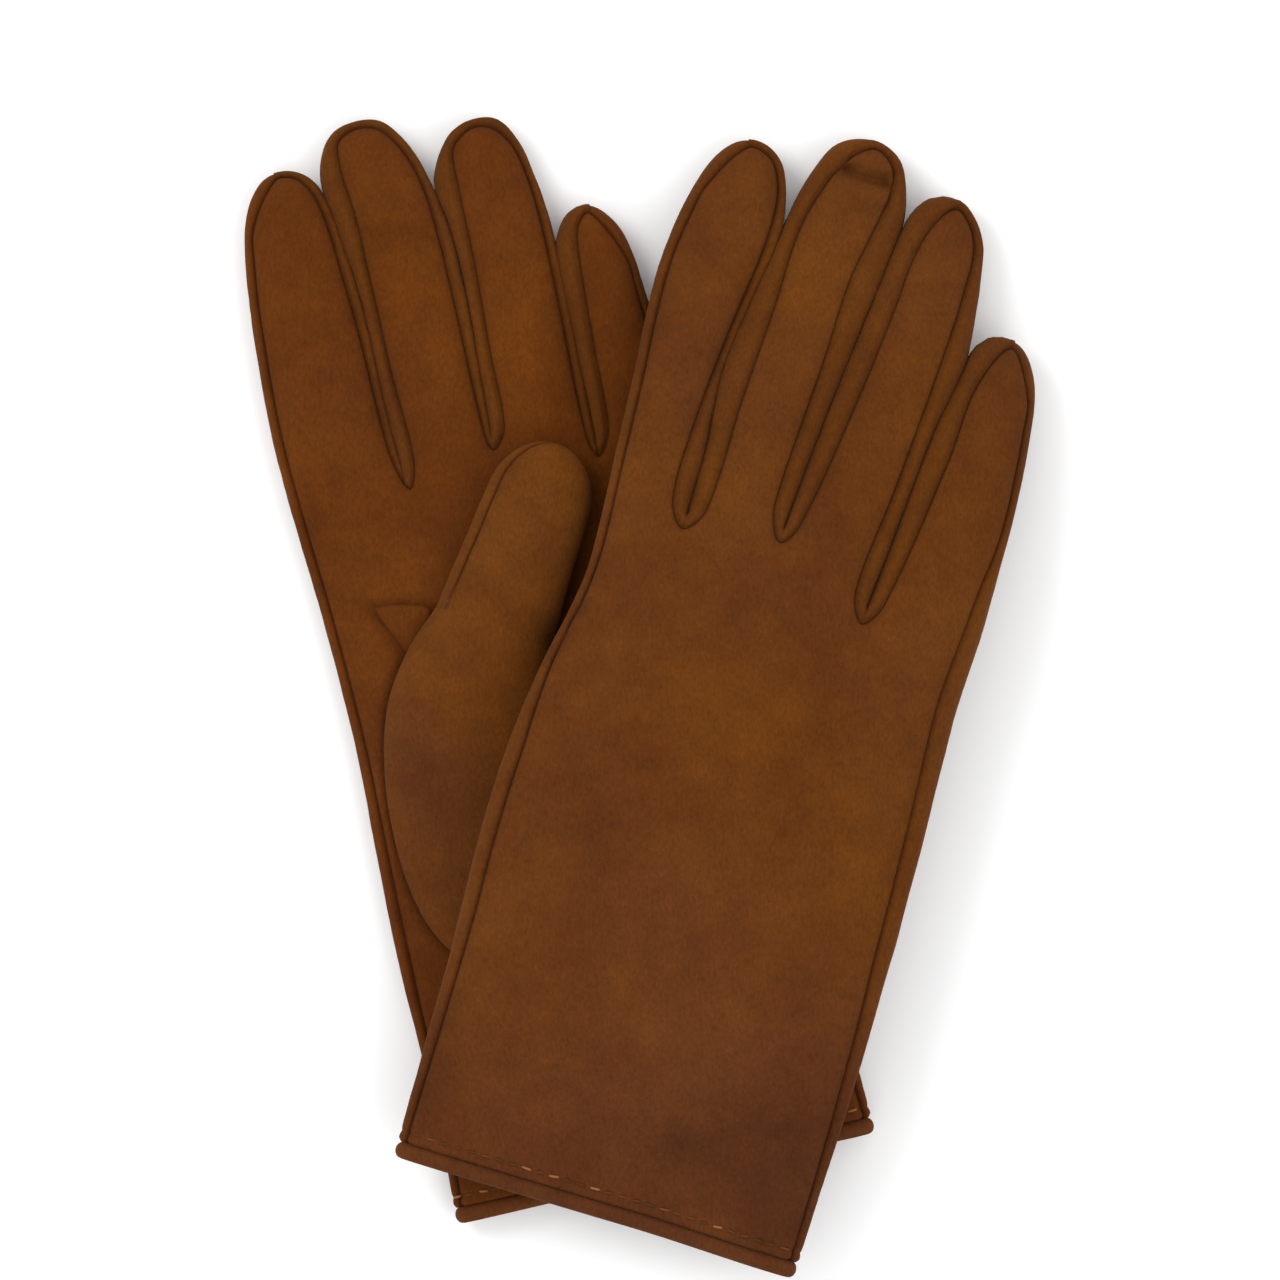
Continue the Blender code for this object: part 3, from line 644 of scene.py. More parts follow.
def dented(glove, points):
    """Depth of the glove's soft creases, sharper on one side, with a low swell beside each."""
    depth = np.zeros(len(points))
    plan = points[:, :2]
    for start, end, deep, wide in glove["dents"]:
        line = np.array((start, end), float)
        wavy = plan + 0.25 * wide * np.stack([waves(points, 9, 3), waves(points, 7, 4)], 1)
        span, offset = line[1] - line[0], wavy - line[0]
        ahead = span[0] * offset[:, 1] - span[1] * offset[:, 0] > 0
        gap = distance_to(wavy, line) * np.where(ahead, 1.5, 0.8)
        depth += deep * (bell(gap, wide) - 0.35 * bell(gap - 2.2 * wide, wide))
    return depth


def sunk(glove, points, seam_distance, seed, creases):
    """How far each point lies under the plain surface: seams, stitch row, creases and ripples."""
    y = points[:, 1]
    depth = turned_in(seam_distance, SEAM_RADIUS)
    away = smooth(0, 1.0, seam_distance)
    height, middle, spread = SHOULDER
    depth -= height * bell(seam_distance - middle, spread) * away
    depth += turned_in(np.maximum(y - HEM, 0), HEM_GROOVE) * (y < HEM + 3)
    depth += STITCH_DIP[0] * bell(y - STITCH_LINE, STITCH_DIP[1])
    (large, large_size), (small, small_size), (fine, fine_size) = LARGE_RIPPLE, SMALL_RIPPLE, FINE_RIPPLE
    ripple = large * waves(points, large_size, seed) + small * waves(points, small_size, seed + 1)
    ripple += fine * waves(points * (1.0, 1.7, 1.0), fine_size, seed + 2)
    return depth + (creases - ripple) * away


def strip(glove, line, number, roundness, overlap=0.08, count=9):
    """Rows of points round the side of a finger or the hand, from the upper seam to the lower one."""
    high = surface_height(glove, line[:, 0], line[:, 1])
    reach = nearest_on(line, glove["outlines"][number]) - line
    reach += unit(reach) * overlap
    angles = border_angles(count)
    offset = np.abs(rounded(np.sin(angles), roundness))
    rise = rounded(np.cos(angles), roundness)
    offset[[0, -1]] = 0
    plan = line[:, None, :] + reach[:, None, :] * offset[None, :, None]
    heights = high[:, None] * rise
    return np.concatenate((plan, heights[..., None]), axis=2)


def border_angles(count):
    """Angles from 0 to a half turn with more of them close to both ends."""
    even = np.linspace(0, 1, 2 * count + 1)
    return math.pi * (even - 0.09 * np.sin(2 * math.pi * even))


def row_distances(rows):
    """Distance of each point from the first and from the last point of its row."""
    steps = np.linalg.norm(np.diff(rows, axis=1), axis=2)
    along = np.concatenate((np.zeros((len(rows), 1)), np.cumsum(steps, axis=1)), axis=1)
    return along, along[:, -1:] - along


# ---------------------------------------------------------------- materials

def node(tree, kind, **settings):
    made = tree.nodes.new(kind)
    for name, value in settings.items():
        if name in made.inputs:
            made.inputs[name].default_value = value
        else:
            setattr(made, name, value)
    return made


def noise_node(tree, coordinates, scale, detail=3.0, roughness=0.6):
    made = node(tree, "ShaderNodeTexNoise", Scale=scale, Detail=detail, Roughness=roughness)
    tree.links.new(coordinates, made.inputs["Vector"])
    return made.outputs["Fac"]


def ramp(tree, value, stops):
    made = tree.nodes.new("ShaderNodeValToRGB")
    elements = made.color_ramp.elements
    while len(elements) < len(stops):
        elements.new(0.5)
    for element, (place, colour) in zip(elements, stops):
        element.position = place
        element.color = (*colour, 1.0)
    tree.links.new(value, made.inputs["Fac"])
    return made.outputs["Color"]


def blended(tree, kind, factor, a, b):
    made = node(tree, "ShaderNodeMix", data_type="RGBA", blend_type=kind)
    for socket, value in ((made.inputs[0], factor), (made.inputs[6], a), (made.inputs[7], b)):
        if isinstance(value, (int, float)):
            socket.default_value = value
        elif isinstance(value, tuple):
            socket.default_value = (*value, 1.0)
        else:
            tree.links.new(value, socket)
    return made.outputs[2]


def times(tree, base, value, stops, factor=1.0):
    """A colour multiplied by a ramp; a stop may be one grey number or a colour."""
    stops = [(place, colour if isinstance(colour, tuple) else grey(colour)) for place, colour in stops]
    return blended(tree, "MULTIPLY", factor, base, ramp(tree, value, stops))


def grey(value):
    return (value, value, value)


def scaled(colour, amount):
    return tuple(channel * amount for channel in colour)


def new_material(name):
    material = bpy.data.materials.new(name)
    material.use_nodes = True
    tree = material.node_tree
    shader = tree.nodes["Principled BSDF"]
    coordinates = tree.nodes.new("ShaderNodeTexCoord").outputs["Object"]
    return material, tree, shader, coordinates


def bump(tree, shader, heights):
    """A chain of bumps from (height, strength, depth in metres) to the shader's normal."""
    previous = None
    for height, strength, depth in heights:
        made = node(tree, "ShaderNodeBump", Strength=strength, Distance=depth)
        tree.links.new(height, made.inputs["Height"])
        if previous is not None:
            tree.links.new(previous, made.inputs["Normal"])
        previous = made.outputs["Normal"]
    tree.links.new(previous, shader.inputs["Normal"])


def suede(name, colour):
    """Brushed suede: a cloudy nap in several sizes, a fine grain, and painted shade that darkens its
    creases and seams.
    """
    material, tree, shader, coordinates = new_material(name)
    clouds = noise_node(tree, coordinates, 32, 4, 0.55)
    patches = noise_node(tree, coordinates, 150, 4, 0.6)
    brushed = node(tree, "ShaderNodeMapping", Scale=(1.0, 0.5, 1.0))
    tree.links.new(coordinates, brushed.inputs["Vector"])
    grain = noise_node(tree, brushed.outputs["Vector"], 1500, 4, 0.75)
    fibres = noise_node(tree, brushed.outputs["Vector"], 4200, 2, 0.7)
    dark = (colour[0] * 0.82, colour[1] * 0.77, colour[2] * 0.86)
    light = (colour[0] * 1.14, colour[1] * 1.19, colour[2] * 1.15)
    base = ramp(tree, clouds, ((0.3, dark), (0.5, colour), (0.7, light)))
    base = times(tree, base, patches, ((0.3, 0.88), (0.7, 1.10)))
    base = times(tree, base, grain, ((0.3, 0.78), (0.7, 1.2)))
    # Painted shade: the groove attribute darkens the colour in seams, creases and grooves, where shade
    # falls.
    painted_shade_level = node(tree, "ShaderNodeAttribute", attribute_name="groove").outputs["Fac"]
    base = times(tree, base, painted_shade_level, ((0.0, 1.0), (0.35, 0.88), (0.75, 0.76), (1.0, (0.66, 0.6, 0.6))))
    tone = node(tree, "ShaderNodeAttribute", attribute_name="tone").outputs["Fac"]
    base = times(tree, base, tone, TONES)
    tree.links.new(base, shader.inputs["Base Color"])
    rough = ramp(tree, patches, ((0.3, grey(0.86)), (0.7, grey(0.98))))
    tree.links.new(rough, shader.inputs["Roughness"])
    shader.inputs["Specular IOR Level"].default_value = 0.06
    shader.inputs["Sheen Weight"].default_value = 0.06
    shader.inputs["Sheen Roughness"].default_value = 0.45
    shader.inputs["Sheen Tint"].default_value = (0.9, 0.55, 0.3, 1.0)
    bump(tree, shader, ((patches, 0.35, 0.0006), (grain, 0.55, 0.00022), (fibres, 0.5, 0.0001)))
    return material


def knit(name, colour):
    """The lining: a fine rib of knitted loops."""
    material, tree, shader, coordinates = new_material(name)
    ribs = node(tree, "ShaderNodeTexWave", Scale=420.0, Distortion=1.2, Detail=2.0)
    tree.links.new(coordinates, ribs.inputs["Vector"])
    loops = node(tree, "ShaderNodeTexVoronoi", Scale=1400.0)
    tree.links.new(coordinates, loops.inputs["Vector"])
    base = ramp(tree, ribs.outputs["Fac"], ((0.1, scaled(colour, 0.6)), (0.8, scaled(colour, 1.25))))
    base = times(tree, base, loops.outputs["Distance"], ((0.0, 0.7), (0.6, 1.1)), 0.6)
    tree.links.new(base, shader.inputs["Base Color"])
    rough = ramp(tree, ribs.outputs["Fac"], ((0, grey(0.55)), (1, grey(0.7))))
    tree.links.new(rough, shader.inputs["Roughness"])
    shader.inputs["Specular IOR Level"].default_value = 0.12
    shader.inputs["Sheen Weight"].default_value = 0.04
    shader.inputs["Sheen Tint"].default_value = (0.8, 0.5, 0.3, 1.0)
    bump(tree, shader, ((ribs.outputs["Fac"], 0.5, 0.0003), (loops.outputs["Distance"], 0.5, 0.00015)))
    return material


def thread_material(name):
    """Sewing thread: twisted strands, brown with a few lighter stitches."""
    material, tree, shader, coordinates = new_material(name)
    twist = node(tree, "ShaderNodeTexWave", Scale=1500.0, Distortion=2.0)
    tree.links.new(coordinates, twist.inputs["Vector"])
    tone = node(tree, "ShaderNodeAttribute", attribute_name="tone").outputs["Fac"]
    browns = ((0.0, (0.07, 0.022, 0.006)), (0.7, (0.12, 0.04, 0.01)), (1.0, (0.27, 0.115, 0.036)))
    base = times(tree, ramp(tree, tone, browns), twist.outputs["Fac"], ((0, 0.75), (1, 1.15)), 0.7)
    tree.links.new(base, shader.inputs["Base Color"])
    shader.inputs["Roughness"].default_value = 0.7
    shader.inputs["Specular IOR Level"].default_value = 0.1
    bump(tree, shader, ((twist.outputs["Fac"], 0.5, 0.0001),))
    return material


def floor_material():
    material, tree, shader, coordinates = new_material("pale_floor")
    cloud = noise_node(tree, coordinates, 6, 2)
    tree.links.new(ramp(tree, cloud, ((0.3, grey(0.93)), (0.7, grey(0.95)))), shader.inputs["Base Color"])
    shader.inputs["Roughness"].default_value = 0.9
    shader.inputs["Specular IOR Level"].default_value = 0.1
    return material


MATERIALS = {
    "right_panel": suede("suede_right_panel", (0.1000, 0.0289, 0.0045)),
    "left_panel": suede("suede_left_panel", (0.0980, 0.0255, 0.0030)),
    "fourchette": suede("suede_fourchette", (0.0963, 0.0278, 0.0038)),
    "thumb": suede("suede_thumb", (0.1118, 0.0331, 0.0043)),
    "binding": suede("suede_binding", (0.1010, 0.0300, 0.0054)),
    "lining": knit("lining_knit", (0.085, 0.034, 0.014)),
    "thread": thread_material("sewing_thread"),
}


# ---------------------------------------------------------------- pieces

def open_edges(triangles):
    """Edges that belong to one triangle only, each in its triangle's direction."""
    edges = np.concatenate([triangles[:, (0, 1)], triangles[:, (1, 2)], triangles[:, (2, 0)]])
    ordered = np.sort(edges, axis=1)
    _, inverse, counts = np.unique(ordered, axis=0, return_inverse=True, return_counts=True)
    return edges[counts[inverse.reshape(-1)] == 1]


def shell(name, points, triangles, material, groove=None, tone=None, keep=None):
    """A thin closed piece: the outer surface, the same surface moved in, and the edges between.

    keep picks the triangles of one piece out of a larger surface, whose shading carries on
    across the cut. Points are in the part's frame.
    """
    normals = vertex_normals(points, triangles)
    kept = triangles if keep is None else triangles[keep]
    used, inverse = np.unique(kept, return_inverse=True)
    outer = inverse.reshape(-1, 3)
    count = len(used)
    front, normals = points[used], normals[used]
    thickness = LINING_THICKNESS if material == "lining" else SKIN
    back = front - normals * thickness * MM
    rim = open_edges(outer)
    faces = outer.tolist() + (outer[:, ::-1] + count).tolist()
    faces += [(b, a, a + count, b + count) for a, b in rim.tolist()]
    mesh = bpy.data.meshes.new(name)
    mesh.from_pydata(np.concatenate((front, back)).tolist(), [], faces)
    mesh.polygons.foreach_set("use_smooth", np.ones(len(faces), bool))
    rim_normals = []
    for a, b in rim:
        flat = unit(np.cross(front[b] - front[a], -normals[a]))
        rim_normals += [-flat] * 4
    loops = np.concatenate((normals[outer].reshape(-1, 3), -normals[outer[:, ::-1]].reshape(-1, 3),
                            np.array(rim_normals).reshape(-1, 3)))
    mesh.normals_split_custom_set(loops.tolist())
    plain = np.zeros(len(points))
    groove, tone = (plain if values is None else values for values in (groove, tone))
    return new_object(name, mesh, material, np.tile(groove[used], 2), np.tile(tone[used], 2))


def solid(name, points, triangles, material, groove, tone):
    """A closed piece from a surface that is already closed."""
    mesh = bpy.data.meshes.new(name)
    mesh.from_pydata(points.tolist(), [], triangles.tolist())
    mesh.polygons.foreach_set("use_smooth", np.ones(len(triangles), bool))
    return new_object(name, mesh, material, groove, tone)


def new_object(name, mesh, material, groove, tone):
    for label, values in (("groove", groove), ("tone", tone)):
        attribute = mesh.attributes.new(label, "FLOAT", "POINT")
        attribute.data.foreach_set("value", np.asarray(values, np.float32))
    obj = bpy.data.objects.new(name, mesh)
    bpy.context.scene.collection.objects.link(obj)
    mesh.materials.append(MATERIALS[material])
    return obj


def shade_in_grooves(seam_distance, depth=None):
    """How deep in a seam or crease a point is, from 0 to 1; it darkens the suede's colour there as painted
    shade.
    """
    mark = 0.9 * bell(seam_distance, 0.55) + 0.27 * bell(seam_distance, 2.6)
    if depth is not None:
        mark = mark + 0.55 * np.clip(depth, 0, 1.4)
    return np.clip(mark, 0, 1)


def tone_of(glove, points):
    """Broad light and dark areas of the nap, from 0 to 1."""
    x, y = points[:, 0], points[:, 1]
    cuff = 1 - smooth(10, 70, y)
    tone = 0.74 - 0.38 * cuff + 0.2 * waves(points * (1, 1, 0), 30, 8)
    for middle_x, middle_y, half_x, half_y, strength in glove["marks"]:
        tone = tone - strength * np.exp(-(((x - middle_x) / half_x) ** 2 + ((y - middle_y) / half_y) ** 2))
    return np.clip(tone, 0, 1)


def bend(obj, glove, number):
    """Bakes a finger piece's place into its mesh; the two ends of its bend are worked out but not used."""
    finger = glove["frames"][number]
    ends = finger_spot(finger, np.array((BEND_START, BEND_END)), np.zeros(2))
    place = on_table(glove, np.column_stack((ends, np.zeros(2))))
    place[:, 2] = place[0, 2]
    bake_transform(obj)


def nearest_finger(glove, plan):
    """The finger nearest to each plan point, and how far beyond that finger's root it lies."""
    owner, best, beyond = np.zeros(len(plan), int), np.full(len(plan), 9.0), np.full(len(plan), -99.0)
    for number, finger in enumerate(glove["frames"]):
        distance, across = finger_place(finger, plan[:, 0], plan[:, 1])
        share = np.abs(across) / finger_half_width(finger, np.minimum(distance, finger["length"] - 15))
        nearer = share < best
        owner = np.where(nearer, number, owner)
        beyond = np.where(nearer, distance, beyond)
        best = np.where(nearer, share, best)
    return owner, beyond


def finger_of(glove, plan):
    """Number of the finger each plan point belongs to, or -1 on the hand."""
    owner, distance = nearest_finger(glove, plan)
    return np.where(distance > 0, owner, -1)


def settle(piece, glove, node, number=None):
    """A piece stands for a node; a finger's piece has its place baked into its mesh, any other rides on
    the hand.
    """
    if number is None:
        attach(piece, glove["name"] + "_hand")
    else:
        bend(piece, glove, number)
    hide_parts(node)


def add_panel(glove, side, points, triangles, normals, distance, creases, holes, groove):
    """A whole upper or lower panel, split into its hand piece and its four finger pieces."""
    upper = side == glove["upper"]
    depth = sunk(glove, points, distance, UPPER_SEED if upper else LOWER_SEED, creases)
    final = on_table(glove, points - normals * depth[:, None])
    middle = points[triangles].mean(1)
    gone = np.zeros(len(triangles), bool)
    for hole in holes:
        gone |= inside(middle[:, :2], hole) & ((middle[:, 2] < 0) | upper)
    owner, tone = finger_of(glove, middle[:, :2]), tone_of(glove, points)
    for number in (None, 0, 1, 2, 3):
        part = side + "_panel" if number is None else FINGER_NAMES[number] + "_" + side
        node_name = glove["name"] + "_" + part
        keep = (owner == (-1 if number is None else number)) & ~gone
        piece = shell(node_name + "_suede", final, triangles, glove["name"] + "_panel", groove, tone, keep)
        settle(piece, glove, node_name, number)


def add_upper(glove, parts):
    flat, triangles = plan_mesh(panel_outline(parts))
    points = np.column_stack((flat, surface_height(glove, flat[:, 0], flat[:, 1])))
    triangles = faced(points, triangles, (0, 0, 1))
    distance = distance_to(flat, np.concatenate(parts))
    creases, holes = dented(glove, points), []
    if glove["upper"] == "palm":
        distance, creases, holes = thumb_opening(glove, flat, distance, creases)
    seams = all_seams(glove, parts)
    normals = leaning(vertex_normals(points, triangles), distance_to(flat, seams[0]), flat, seams)
    # Painted shade: the colour darkens along the seams and in the crease dents.
    groove = shade_in_grooves(distance, creases)
    add_panel(glove, glove["upper"], points, triangles, normals, distance, creases, holes, groove)


def panel_outline(parts):
    """The closed outline of a panel: the seams, then the hem's straight edge."""
    seam = np.concatenate([part[:-1] for part in parts] + [parts[-1][-1:]])
    hem = resample(np.array((seam[-1], seam[0])), 1.2)[1:-1]
    return np.concatenate((seam, hem))


def add_lower(glove, parts):
    """The lower panel, which goes on round both outer sides of the glove up to the upper seam."""
    flat, triangles = plan_mesh(panel_outline(parts), LOWER_SPACING)
    points = np.column_stack((flat, -surface_height(glove, flat[:, 0], flat[:, 1])))
    sets, faces = [points], [faced(points, triangles, (0, 0, -1))]
    values, start = [distance_to(flat, np.concatenate(parts[1:-1]))], len(points)
    for number, part in ((0, parts[0]), (3, parts[-1])):
        rows = strip(glove, part, number, SIDE_ROUNDNESS)
        grid = rows.reshape(-1, 3)
        outward = np.repeat(normals_out(part), rows.shape[1], axis=0)
        outward = np.column_stack((outward, np.zeros(len(outward))))
        sets.append(grid)
        faces.append(faced(grid, grid_triangles(*rows.shape[:2]), outward) + start)
        values.append(row_distances(rows)[0].ravel())
        start += len(grid)
    points, triangles, distance = welded(*(np.concatenate(lists) for lists in (sets, faces, values)))
    holes, creases = [], np.zeros(len(points))
    if glove["lower"] == "palm":
        under = points[:, 2] < 0
        changed, creases, holes = thumb_opening(glove, points[:, :2], distance, creases)
        distance = np.where(under, changed, distance)
        creases = np.where(under, creases, 0)
    seams = all_seams(glove, parts)
    normals = lower_normals(vertex_normals(points, triangles), distance, points, seams)
    # Painted shade: the colour darkens along the seams.
    groove = shade_in_grooves(distance)
    add_panel(glove, glove["lower"], points, triangles, normals, distance, creases, holes, groove)


def lower_normals(normals, distance, points, seams):
    """Leaning normals of the lower leather, which meets the upper seam above and the lower one below."""
    above = leaning(normals, distance, points[:, :2], seams)
    below = leaning(normals, distance, points[:, :2], seams, -1)
    return np.where(points[:, 2:] > 0, above, below)


def gusset_relief(points, edge, seed):
    """A gusset's soft ripples and rounded shoulders, which fade out at its seams."""
    ripple = 0.16 * waves(points, 5, seed) + GUSSET_PUFF * bell(edge - 2.0, 1.1)
    return -ripple * smooth(0, 1.0, edge)


def add_fourchettes(glove, parts):
    """The gussets between the fingers, each from the crotch up one side of a finger."""
    for index in range(1, 7):
        number, side = index // 2, 1 if index % 2 else -1
        line = parts[index][::-1] if side > 0 else parts[index]
        out = normals_out(line) * (-1 if side > 0 else 1)
        rows = strip(glove, line, number, GUSSET_ROUNDNESS, GUSSET_OVERLAP)
        upper, lower = row_distances(rows)
        along = lengths_along(line)[:, None]
        distance = np.minimum(np.minimum(upper, lower), 0.5 + along).ravel()
        points = rows.reshape(-1, 3)
        outward = np.column_stack((np.repeat(out, rows.shape[1], axis=0), np.zeros(len(points))))
        triangles = faced(points, grid_triangles(*rows.shape[:2]), outward)
        normals = vertex_normals(points, triangles)
        shares = smooth(0, SEAM_RADIUS, np.minimum(upper, lower))[..., None]
        turned = np.where((upper < lower)[..., None], 1.0, (1, 1, -1))
        ways = seam_directions(glove, line, number)[:, None, :] * turned
        normals = unit(mix(ways, normals.reshape(rows.shape), shares)).reshape(-1, 3)
        edge = np.minimum(upper, lower).ravel()
        depth = turned_in(edge, SEAM_RADIUS) + gusset_relief(points, edge, GUSSET_SEED + index)
        final = on_table(glove, points - normals * depth[:, None])
        side_name = "_fourchette_little_side" if side > 0 else "_fourchette_index_side"
        name = glove["name"] + "_" + FINGER_NAMES[number] + side_name
        # Painted shade: the colour darkens along the gusset's seams and towards the crotch.
        groove, tone = shade_in_grooves(distance), tone_of(glove, points)
        piece = shell(name + "_suede", final, triangles, "fourchette", groove, tone)
        settle(piece, glove, name, number)


# ---------------------------------------------------------------- thumb

def thumb_axes(glove):
    along = np.array((math.sin(glove["thumb_angle"]), math.cos(glove["thumb_angle"])))
    return np.array(glove["thumb_root"]), along, np.array((along[1], -along[0]))


def heel_borders(glove, count=70):
    """The seam between heel and palm: its left and right sides, from the wrist to the thumb's root."""
    root, _, across = thumb_axes(glove)
    move = root - np.array(LEFT["thumb_root"])
    sides = []
    for points, side in ((HEEL_LEFT, -1), (HEEL_RIGHT, 1)):
        line = np.array(points, float)
        share = np.linspace(0, 1, len(line))[:, None]
        line = line + move * share
        line = np.concatenate((line, [root + across * side * THUMB_BASE_HALF_WIDTH]))
        dense, _ = curve_through(line)
        sides.append(sample_at(dense, lengths_along(dense)[-1] * np.linspace(0, 1, count + 1) ** 1.15))
    return sides


def quirk_outline(glove):
    move = np.array(glove["thumb_root"]) - np.array(LEFT["thumb_root"])
    points = np.array(QUIRK + QUIRK[:1], float) + move
    return resample(curve_through(points)[0], 0.6)[:-1]


def thumb_opening(glove, flat, distance, creases):
    """The palm's seam distance with the heel's and quirk's seams, and the outlines cut out of it."""
    left, right = heel_borders(glove)
    heel = np.concatenate((left, right[::-1]))
    quirk = quirk_outline(glove)
    edge = np.concatenate((left[::-1], right))
    covered = inside(flat, heel) | inside(flat, quirk)
    near = np.minimum(distance_to(flat, edge), distance_to(flat, looped(quirk)))
    near = np.where(covered, 0.0, near)
    # Under the heel and the quirk the palm is pushed down and its colour darkened as painted shade beside
    # their edges.
    creases = creases + np.where(covered, 0.9, 0.0)
    return np.minimum(distance, near), creases, [shrunk(heel, 1.1), shrunk(quirk, 0.8)]


def shrunk(outline, amount):
    ring = np.concatenate((outline[-1:], outline, outline[:1]))
    out = normals_out(ring)[1:-1]
    moved = outline + out * 0.01
    sign = -1 if inside(moved, outline).mean() < 0.5 else 1
    return outline + out * sign * amount


def palm_surface(glove, plan):
    return surface_height(glove, plan[..., 0].ravel(), plan[..., 1].ravel()).reshape(plan.shape[:-1])


def arch_row(width, height, roundness, places):
    """Points of an arch from its right foot over the top to its left foot, at shares of its length."""
    angle = np.linspace(0, math.pi, 181)
    x, z = width * rounded(np.cos(angle), roundness), height * rounded(np.sin(angle), roundness)
    line = np.stack([x, z], 1)
    return sample_at(line, places * lengths_along(line)[-1])


def seam_places(count, length):
    """Shares of a length, even along it and closer together at both ends."""
    near = np.array((0, 0.14, 0.4, 0.8, 1.3)) / length
    middle = np.linspace(2.0 / length, 1 - 2.0 / length, count)
    return np.concatenate((near, middle, 1 - near[::-1]))


def heel_rows(glove):
    left, right = heel_borders(glove)
    centre, half = (left + right) / 2, (right - left) / 2
    rows = []
    steps = len(left)
    for i in range(1, steps):
        t = i / (steps - 1)
        width = np.linalg.norm(half[i])
        body = mix(HEEL_PUFF, 3.2, float(smooth(0.05, 0.5, t)))
        high = mix(body, 2 * THUMB_HALF_HEIGHT + THUMB_CLEARANCE, float(smooth(0.52, 1.0, t)))
        shape = arch_row(width, high, mix(3.0, 2.3, t), seam_places(24, 30))
        plan = centre[i] + np.outer(shape[:, 0] / width, half[i])
        height = palm_surface(glove, plan) + shape[:, 1] - 0.4 * (1 - t)
        rows.append(np.column_stack((plan, height)))
    return np.array(rows)


def add_thumb(glove):
    side, name = glove["palm_side"], glove["name"] + "_thumb"
    heel = heel_rows(glove)
    first, last = row_distances(heel)
    distance = np.minimum(np.minimum(first, last), np.arange(len(heel))[:, None] * 1.1)
    fade = 1 - smooth(0.93, 1.0, np.linspace(0, 1, len(heel)))[:, None]
    depth = turned_in(distance, SEAM_RADIUS) * fade
    ripple = waves(heel.reshape(-1, 3), 14, HEEL_SEED).reshape(depth.shape)
    depth = depth - THUMB_RIPPLE * ripple * fade
    thumb = thumb_rows(glove, heel[-1])
    seam, end = row_distances(thumb)
    seam_gap = np.minimum(seam, end)
    grown = smooth(0, 8, np.arange(len(thumb)))[:, None]
    thumb_depth = turned_in(seam_gap, SEAM_RADIUS * 0.85) * grown
    ripple = waves(thumb.reshape(-1, 3), 13, THUMB_SEED).reshape(thumb_depth.shape)
    thumb_depth = thumb_depth - THUMB_RIPPLE * ripple * grown
    for part, rows, sink, gap in (("_heel", heel, depth, distance), ("", thumb, thumb_depth, seam_gap)):
        points = rows.reshape(-1, 3)
        centre = np.repeat(rows.mean(1), rows.shape[1], axis=0)
        outward = points - centre + (0, 0, 2.0 if part else 0.0)
        triangles = faced(points, grid_triangles(*rows.shape[:2]), outward)
        moved = points - vertex_normals(points, triangles) * sink.reshape(-1, 1)
        moved[:, 2] *= side
        final = on_table(glove, moved)
        triangles = triangles if side > 0 else triangles[:, ::-1]
        # Painted shade: the colour darkens along the heel's and thumb's seams.
        groove, tone = shade_in_grooves(gap.ravel()), tone_of(glove, points)
        piece = shell(name + part + "_suede", final, triangles, "thumb", groove, tone)
        if part:
            settle(piece, glove, name + part)
        else:
            blend_thumb(piece, glove)
            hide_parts(name)
    add_thumb_lining(glove)
    add_quirk(glove)


def blend_thumb(piece, glove):
    root, along, _ = thumb_axes(glove)
    ends = root + np.multiply.outer(np.array(THUMB_BEND), along)
    place = on_table(glove, np.column_stack((ends, np.zeros(2))))
    place[:, 2] = place[0, 2]
    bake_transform(piece)


def thumb_rows(glove, root_arch):
    """Rings round the thumb from its seam on the outer side over the top and back underneath."""
    root, along, across = thumb_axes(glove)
    base = HAND_HALF_HEIGHT + THUMB_CLEARANCE
    straight = THUMB_LENGTH - THUMB_TIP_LENGTH
    turns = np.linspace(0, math.pi / 2 * 0.985, 13)[1:]
    distances = np.concatenate((np.arange(0, straight, 1.3), straight + THUMB_TIP_LENGTH * np.sin(turns)))
    angle = np.linspace(0, TURN, 361)
    rows = []
    for distance in distances:
        taper = closing(distance, straight, THUMB_TIP_LENGTH)
        rise = closing(distance, THUMB_LENGTH - THUMB_TIP_RISE, THUMB_TIP_RISE)
        share = min(distance / straight, 1)
        width = mix(THUMB_BASE_HALF_WIDTH, THUMB_TIP_HALF_WIDTH, share) * taper
        opened = float(smooth(0, THUMB_OPENING, distance))
        sin = np.sin(angle)
        x = width * rounded(np.cos(angle), FINGER_ROUNDNESS)
        lift = rounded(sin, mix(THUMB_ROOT_ROUNDNESS, FINGER_ROUNDNESS, opened))
        round_z = THUMB_HALF_HEIGHT * (1 + lift * rise)
        flat_z = (2 * THUMB_HALF_HEIGHT) * np.maximum(lift, 0)
        z = mix(flat_z, round_z, opened)
        section = np.stack([x, z], 1)
        start = np.argmin(np.abs(x + width - THUMB_SEAM_INSET * taper) + (sin < 0) * 99)
        section = np.concatenate((section[start:], section[1:start + 1]))
        section = sample_at(section, seam_places(44, 50) * lengths_along(section)[-1])
        spot = root + along * distance + np.outer(section[:, 0], across)
        palm = palm_surface(glove, spot) - HAND_HALF_HEIGHT
        height = section[:, 1] + base + palm * (1 - opened)
        rows.append(np.column_stack((spot, height)))
    return np.array(rows)


def tube(name, rows, glove):
    """A lining tube through rings of points, open at its first and its last ring."""
    points = rows.reshape(-1, 3)
    triangles = grid_triangles(*rows.shape[:2], closed=True)
    outward = points - np.repeat(rows.mean(1), rows.shape[1], axis=0)
    triangles = faced(points, triangles, outward)
    return shell(name + "_knit", on_table(glove, points), triangles, "lining")


def section_ring(width, height, roundness, count):
    angle = np.linspace(0, TURN, count, endpoint=False)
    return width * rounded(np.cos(angle), roundness), height * rounded(np.sin(angle), roundness)


